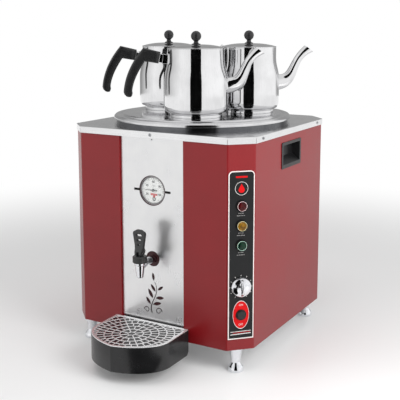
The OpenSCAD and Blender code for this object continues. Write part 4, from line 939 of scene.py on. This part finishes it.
def makeGauge():
    gauge = {"case": [(0, -18), (26.9, -18), (26.9, -4.4), (28.7, -1.7, 0.3), (29.7, -1.1, 0.4),
                      (30.5, -1.7, 0.4), (30.5, -20), (6, -20), (6, -71), (0, -71)],
             # the black ring and bars below are painted shade in the gap round the case and in the slots
             # beside it
             "steps": 128, "thin": 0.3, "gapShade": (31.9, 30.5), "gapShadeDown": -3.0, "slotShade": (31.8, 44.8, 4.6),
             "slotShadeDown": -1.4, "ink": 0.05, "tickR": 25.6, "longTick": (3.2, 0.9), "shortTick": (1.8, 0.5),
             "numerals": {"20": (18.032, 210), "40": (18.032, 150), "60": (18.032, 90), "80": (18.032, 30),
                          "100": (16.56, -30)},
             "numeralMm": 4.8, "numeralBold": 0.25, "unitUp": 9.4, "unitMm": 3.2, "unitBold": 0.12,
             # x, y, width and height of two red bars, which mark the boiling range over a dark ring
             "redBars": ((1.0, -8.8, 16.5, 4.0), (1.4, -13.0, 6.0, 4.6)), "redTurns": (-2, 0),
             "ring": (1.4, -18.4, 4.0, 1.6), "ringTall": 1.1, "ringSteps": 32}
    ink, x, z = gauge["ink"], middle("gauge_case").x, middle("gauge_dial").z
    sheetFace = facing((x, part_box("gauge_case")[0][1], z), (0, -1, 0))                # on the steel front
    turned("gaugeCaseSkin", rounded(gauge["case"]), sheetFace, "headedStainless", "urn", ("gauge_case",),
           gauge["steps"])
    # a black ring in the gap round the gauge case and black bars in the slots beside it: painted shade, dark
    # pieces put where there is only shade behind the steel front
    gapShade = bmesh.new()
    addHoop(gapShade, moved(sheetFace, 0, 0, gauge["gapShadeDown"]), 0, 0, *gauge["gapShade"], gauge["thin"],
            steps=gauge["steps"])
    near, far, tall = gauge["slotShade"]
    slotShadeFace = moved(sheetFace, 0, 0, gauge["slotShadeDown"])
    for side in (-1, 1):
        addBar(gapShade, slotShadeFace, side * (near + far) / 2, 0, far - near, tall, gauge["thin"])
    finishPiece(gapShade, "gaugeGapShade", "blackRubberAndShade", "urn")

    dialFace = facing((x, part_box("gauge_dial")[0][1], z), (0, -1, 0))
    black, red, ring = bmesh.new(), bmesh.new(), bmesh.new()
    for a in range(-60, 241, 10):
        way = math.radians(a)
        tall, wide = gauge["longTick"] if a % 30 == 0 else gauge["shortTick"]
        r = gauge["tickR"] - tall / 2
        addBar(black, dialFace, r * math.cos(way), r * math.sin(way), tall, wide, ink, a)
    for words, (r, a) in gauge["numerals"].items():
        way = math.radians(a)
        addText(black, dialFace, words, r * math.cos(way), r * math.sin(way), gauge["numeralMm"], ink,
                gauge["numeralBold"])
    addText(black, dialFace, "°C", 0, gauge["unitUp"], gauge["unitMm"], ink, gauge["unitBold"])
    finishPiece(black, "dialPrint", "blackDialInk", "urn")
    for bar, turnDeg in zip(gauge["redBars"], gauge["redTurns"]):
        addBar(red, dialFace, *bar, ink, turnDeg)
    finishPiece(red, "dialRedPrint", "redScreenInk", "urn")
    addHoop(ring, dialFace, *gauge["ring"], ink, gauge["ringTall"], gauge["ringSteps"])
    finishPiece(ring, "dialDrop", "blackDialInk", "urn")
    carried("gauge_pointer", "blackDialInk", edgeMm=0.1)


makeGauge()
print("gauge made")


def staged(name, bm, material):
    mesh = bpy.data.meshes.new(name)
    bm.to_mesh(mesh)
    bm.free()
    mesh.materials.append(material)
    thing = bpy.data.objects.new(name, mesh)
    bpy.context.scene.collection.objects.link(thing)
    return thing


def newTree(store, name):
    made = store.new(name)
    made.use_nodes = True
    made.node_tree.nodes.clear()
    return made, made.node_tree


def makeFloor():
    # seamless studio paper: its own white carries the soft shadow, and it fades into the white backdrop
    floor = {"paper": "#e6e6e6", "rough": (0.28, 0.34), "pulpMm": 30, "lift": 0.06, "radius": 6.0,
             "fadeStart": 0.75, "fadeEnd": 1.9}
    low, high = floor["rough"]
    material, tree = newTree(bpy.data.materials, "seamlessPaper")
    where = addNode(tree, "ShaderNodeTexCoord").outputs["Object"]
    pulp = addNode(tree, "ShaderNodeTexNoise", {"Scale": 1 / (floor["pulpMm"] * mm)}, {"Vector": where})
    rough = addNode(tree, "ShaderNodeMapRange", {3: low, 4: high}, {0: pulp.outputs[0]}).outputs[0]
    paper = addNode(tree, "ShaderNodeBsdfPrincipled",
                    {"Base Color": linear(floor["paper"]), "Specular IOR Level": 0.35}, {"Roughness": rough})
    path = addNode(tree, "ShaderNodeLightPath")
    seen = addNode(tree, "ShaderNodeMath", {"operation": "MAXIMUM"},
                   {0: path.outputs["Is Camera Ray"], 1: path.outputs["Is Transmission Ray"]}).outputs[0]
    seen = addNode(tree, "ShaderNodeMath", {"operation": "MAXIMUM"},
                   {0: seen, 1: path.outputs["Is Glossy Ray"]})
    lift = addNode(tree, "ShaderNodeMath", {"operation": "MULTIPLY", 1: floor["lift"]}, {0: seen.outputs[0]})
    glow = addNode(tree, "ShaderNodeEmission", None, {"Strength": lift.outputs[0]})
    lifted = addNode(tree, "ShaderNodeAddShader", None, {0: paper.outputs[0], 1: glow.outputs[0]})
    away = addNode(tree, "ShaderNodeVectorMath", {"operation": "LENGTH"}, {0: where}).outputs["Value"]
    fade = addNode(tree, "ShaderNodeMapRange", {"interpolation_type": "SMOOTHSTEP", 1: floor["fadeStart"],
                                                2: floor["fadeEnd"]}, {0: away}).outputs[0]
    white = addNode(tree, "ShaderNodeEmission", {"Strength": 1.0})
    mixed = addNode(tree, "ShaderNodeMixShader", None, {0: fade, 1: lifted.outputs[0], 2: white.outputs[0]})
    addNode(tree, "ShaderNodeOutputMaterial", None, {"Surface": mixed.outputs[0]})
    bm = bmesh.new()
    bmesh.ops.create_circle(bm, cap_ends=True, segments=96, radius=floor["radius"])
    staged("studioFloor", bm, material)


viewTurnDeg = 29.958                             # the camera stands this far to the right of the front


def makeWorld():
    # what the studio's walls and screens give back, by degrees to the right of the camera
    walls = {"peak": 1.5, "ceiling": 0.85, "ceilingFrom": 0.4, "ceilingTo": 0.8, "diffuse": 0.68,
             "levels": [(-180, 0.36), (-140, 0.34), (-112, 0.66), (-60, 1.05), (-22, 0.95), (22, 1.0),
                        (55, 1.1), (100, 1.12), (116, 1.08), (124, 0.8), (131, 0.4), (180, 0.36)]}
    peak = walls["peak"]
    world, tree = newTree(bpy.data.worlds, "whiteStudio")
    bpy.context.scene.world = world
    where = addNode(tree, "ShaderNodeTexCoord").outputs["Generated"]
    aimed = addNode(tree, "ShaderNodeMapping", {"Rotation": (0, 0, -math.radians(viewTurnDeg))},
                    {"Vector": where}).outputs[0]
    parts = addNode(tree, "ShaderNodeSeparateXYZ", None, {0: aimed}).outputs
    back = addNode(tree, "ShaderNodeMath", {"operation": "MULTIPLY", 1: -1.0}, {0: parts["Y"]}).outputs[0]
    angle = addNode(tree, "ShaderNodeMath", {"operation": "ARCTAN2"}, {0: parts["X"], 1: back}).outputs[0]
    share = addNode(tree, "ShaderNodeMapRange", {1: -math.pi, 2: math.pi}, {0: angle}).outputs[0]
    ramp = addNode(tree, "ShaderNodeValToRGB", None, {0: share})
    marks = ramp.color_ramp.elements
    for i, (degrees, level) in enumerate(walls["levels"]):
        spot = (degrees + 180) / 360
        mark = marks[0] if i == 0 else marks[-1] if i == len(walls["levels"]) - 1 else marks.new(spot)
        mark.position = spot
        mark.color = (level / peak,) * 3 + (1.0,)
    up = addNode(tree, "ShaderNodeMapRange", {"interpolation_type": "SMOOTHSTEP", 1: walls["ceilingFrom"],
                                              2: walls["ceilingTo"]}, {0: parts["Z"]}).outputs[0]
    top = (walls["ceiling"] / peak,) * 3 + (1.0,)
    colour = addNode(tree, "ShaderNodeMix", {"data_type": "RGBA", 7: top},
                     {0: up, 6: ramp.outputs[0]}).outputs[2]
    path = addNode(tree, "ShaderNodeLightPath")
    seen = addNode(tree, "ShaderNodeMath", {"operation": "MAXIMUM"},
                   {0: path.outputs["Is Camera Ray"], 1: path.outputs["Is Transmission Ray"]}).outputs[0]
    strength = addNode(tree, "ShaderNodeMapRange", {3: peak * walls["diffuse"], 4: peak},
                       {0: path.outputs["Is Glossy Ray"]}).outputs[0]
    room = addNode(tree, "ShaderNodeBackground", None, {"Color": colour, "Strength": strength})
    white = addNode(tree, "ShaderNodeBackground", {"Color": linear("#ffffff"), "Strength": 1.0})
    mixed = addNode(tree, "ShaderNodeMixShader", None, {0: seen, 1: room.outputs[0], 2: white.outputs[0]})
    addNode(tree, "ShaderNodeOutputWorld", None, {"Surface": mixed.outputs[0]})


def makeFlag():
    # black cloth behind the camera: it draws the dark band down everything that is bright and round
    flag = {"away": 2.6, "width": 1.9, "height": 6.0, "threads": ("#020202", "#060606"),
            "weaveMm": 4,                                        # far coarser than the cloth's own 0.5 mm
            "onFloor": [(-22, 14, 0.3, 1.1), (-20, 20, 1.1, 2.75)]}           # from, to, near and far
    dark, light = flag["threads"]
    material, tree = newTree(bpy.data.materials, "blackFlagCloth")
    where = addNode(tree, "ShaderNodeTexCoord").outputs["Object"]
    weave = addNode(tree, "ShaderNodeTexNoise", {"Scale": 1 / (flag["weaveMm"] * mm)}, {"Vector": where})
    colour = addNode(tree, "ShaderNodeMix", {"data_type": "RGBA", 6: linear(dark), 7: linear(light)},
                     {0: weave.outputs[0]}).outputs[2]
    cloth = addNode(tree, "ShaderNodeBsdfPrincipled", {"Roughness": 0.95, "Specular IOR Level": 0.05},
                    {"Base Color": colour})
    addNode(tree, "ShaderNodeOutputMaterial", None, {"Surface": cloth.outputs[0]})
    angle = math.radians(viewTurnDeg)
    inwards = Vector((-math.sin(angle), math.cos(angle), 0))
    place = facing(-flag["away"] * inwards + Vector((0, 0, flag["height"] / 2)), inwards)
    bm = bmesh.new()
    bmesh.ops.create_grid(bm, x_segments=1, y_segments=1, size=0.5,
                          matrix=place @ Matrix.Diagonal((flag["width"], flag["height"], 1, 1)))
    cards = [staged("flagBehindCamera", bm, material)]
    for k, (fromDeg, toDeg, near, far) in enumerate(flag["onFloor"]):         # its foot lies on the floor
        bm = bmesh.new()
        for degrees, away in ((fromDeg, near), (toDeg, near), (toDeg, far), (fromDeg, far)):
            way = angle + math.radians(degrees)
            bm.verts.new((away * math.sin(way), -away * math.cos(way), 2 * mm))
        bmesh.ops.contextual_create(bm, geom=bm.verts[:])
        bmesh.ops.recalc_face_normals(bm, faces=bm.faces)
        cards.append(staged("flagFoot" + str(k), bm, material))
    for card in cards:
        card.visible_camera = False
        card.visible_diffuse = False
        card.visible_shadow = False
        card.visible_transmission = False


lamps = {                                        # place and size in metres, power in watts
    "aim": (0, bodyY, 0.35),
    "softboxes": {"softboxTop": ((-0.2, -0.4, 2.4), (1.8, 1.8), 14),
                  "softboxLeft": ((-2.0, -1.8, 1.3), (1.4, 1.8), 16),
                  "softboxRight": ((1.15, -0.42, 0.85), (0.7, 0.8), 13)},
}


def makeLamp(name, place, size, watts):
    lamp = bpy.data.lights.new(name, "AREA")
    lamp.shape = "RECTANGLE"
    lamp.size, lamp.size_y = size
    lamp.energy = watts
    holder = bpy.data.objects.new(name, lamp)
    holder.location = place
    holder.rotation_euler = (Vector(lamps["aim"]) - Vector(place)).to_track_quat("-Z", "Y").to_euler()
    holder.visible_glossy = False
    holder.visible_camera = False
    bpy.context.scene.collection.objects.link(holder)


def makeCamera():
    view = {"place": (0.9051, -1.5122, 0.7097), "downDeg": 8.945, "rollDeg": -0.047, "focalPx": 807.2,
            "framePx": 400, "shiftY": -0.13, "sensorMm": 36.0}
    camera = bpy.data.cameras.new("viewCamera")
    camera.sensor_width = view["sensorMm"]
    camera.lens = view["focalPx"] / view["framePx"] * view["sensorMm"]
    camera.shift_y = view["shiftY"]
    holder = bpy.data.objects.new("viewCamera", camera)
    turn, down = math.radians(viewTurnDeg), math.radians(view["downDeg"])
    way = Vector((-math.sin(turn) * math.cos(down), math.cos(turn) * math.cos(down), -math.sin(down)))
    aim = way.to_track_quat("-Z", "Y").to_matrix().to_4x4()
    roll = Matrix.Rotation(math.radians(view["rollDeg"]), 4, "Z")
    holder.matrix_world = Matrix.Translation(view["place"]) @ aim @ roll
    bpy.context.scene.collection.objects.link(holder)
    bpy.context.scene.camera = holder


makeFloor()
makeWorld()
makeFlag()
for name, (place, size, watts) in lamps["softboxes"].items():
    makeLamp(name, place, size, watts)
makeCamera()
bpy.context.scene.view_settings.view_transform = "Standard"
print("studio made")
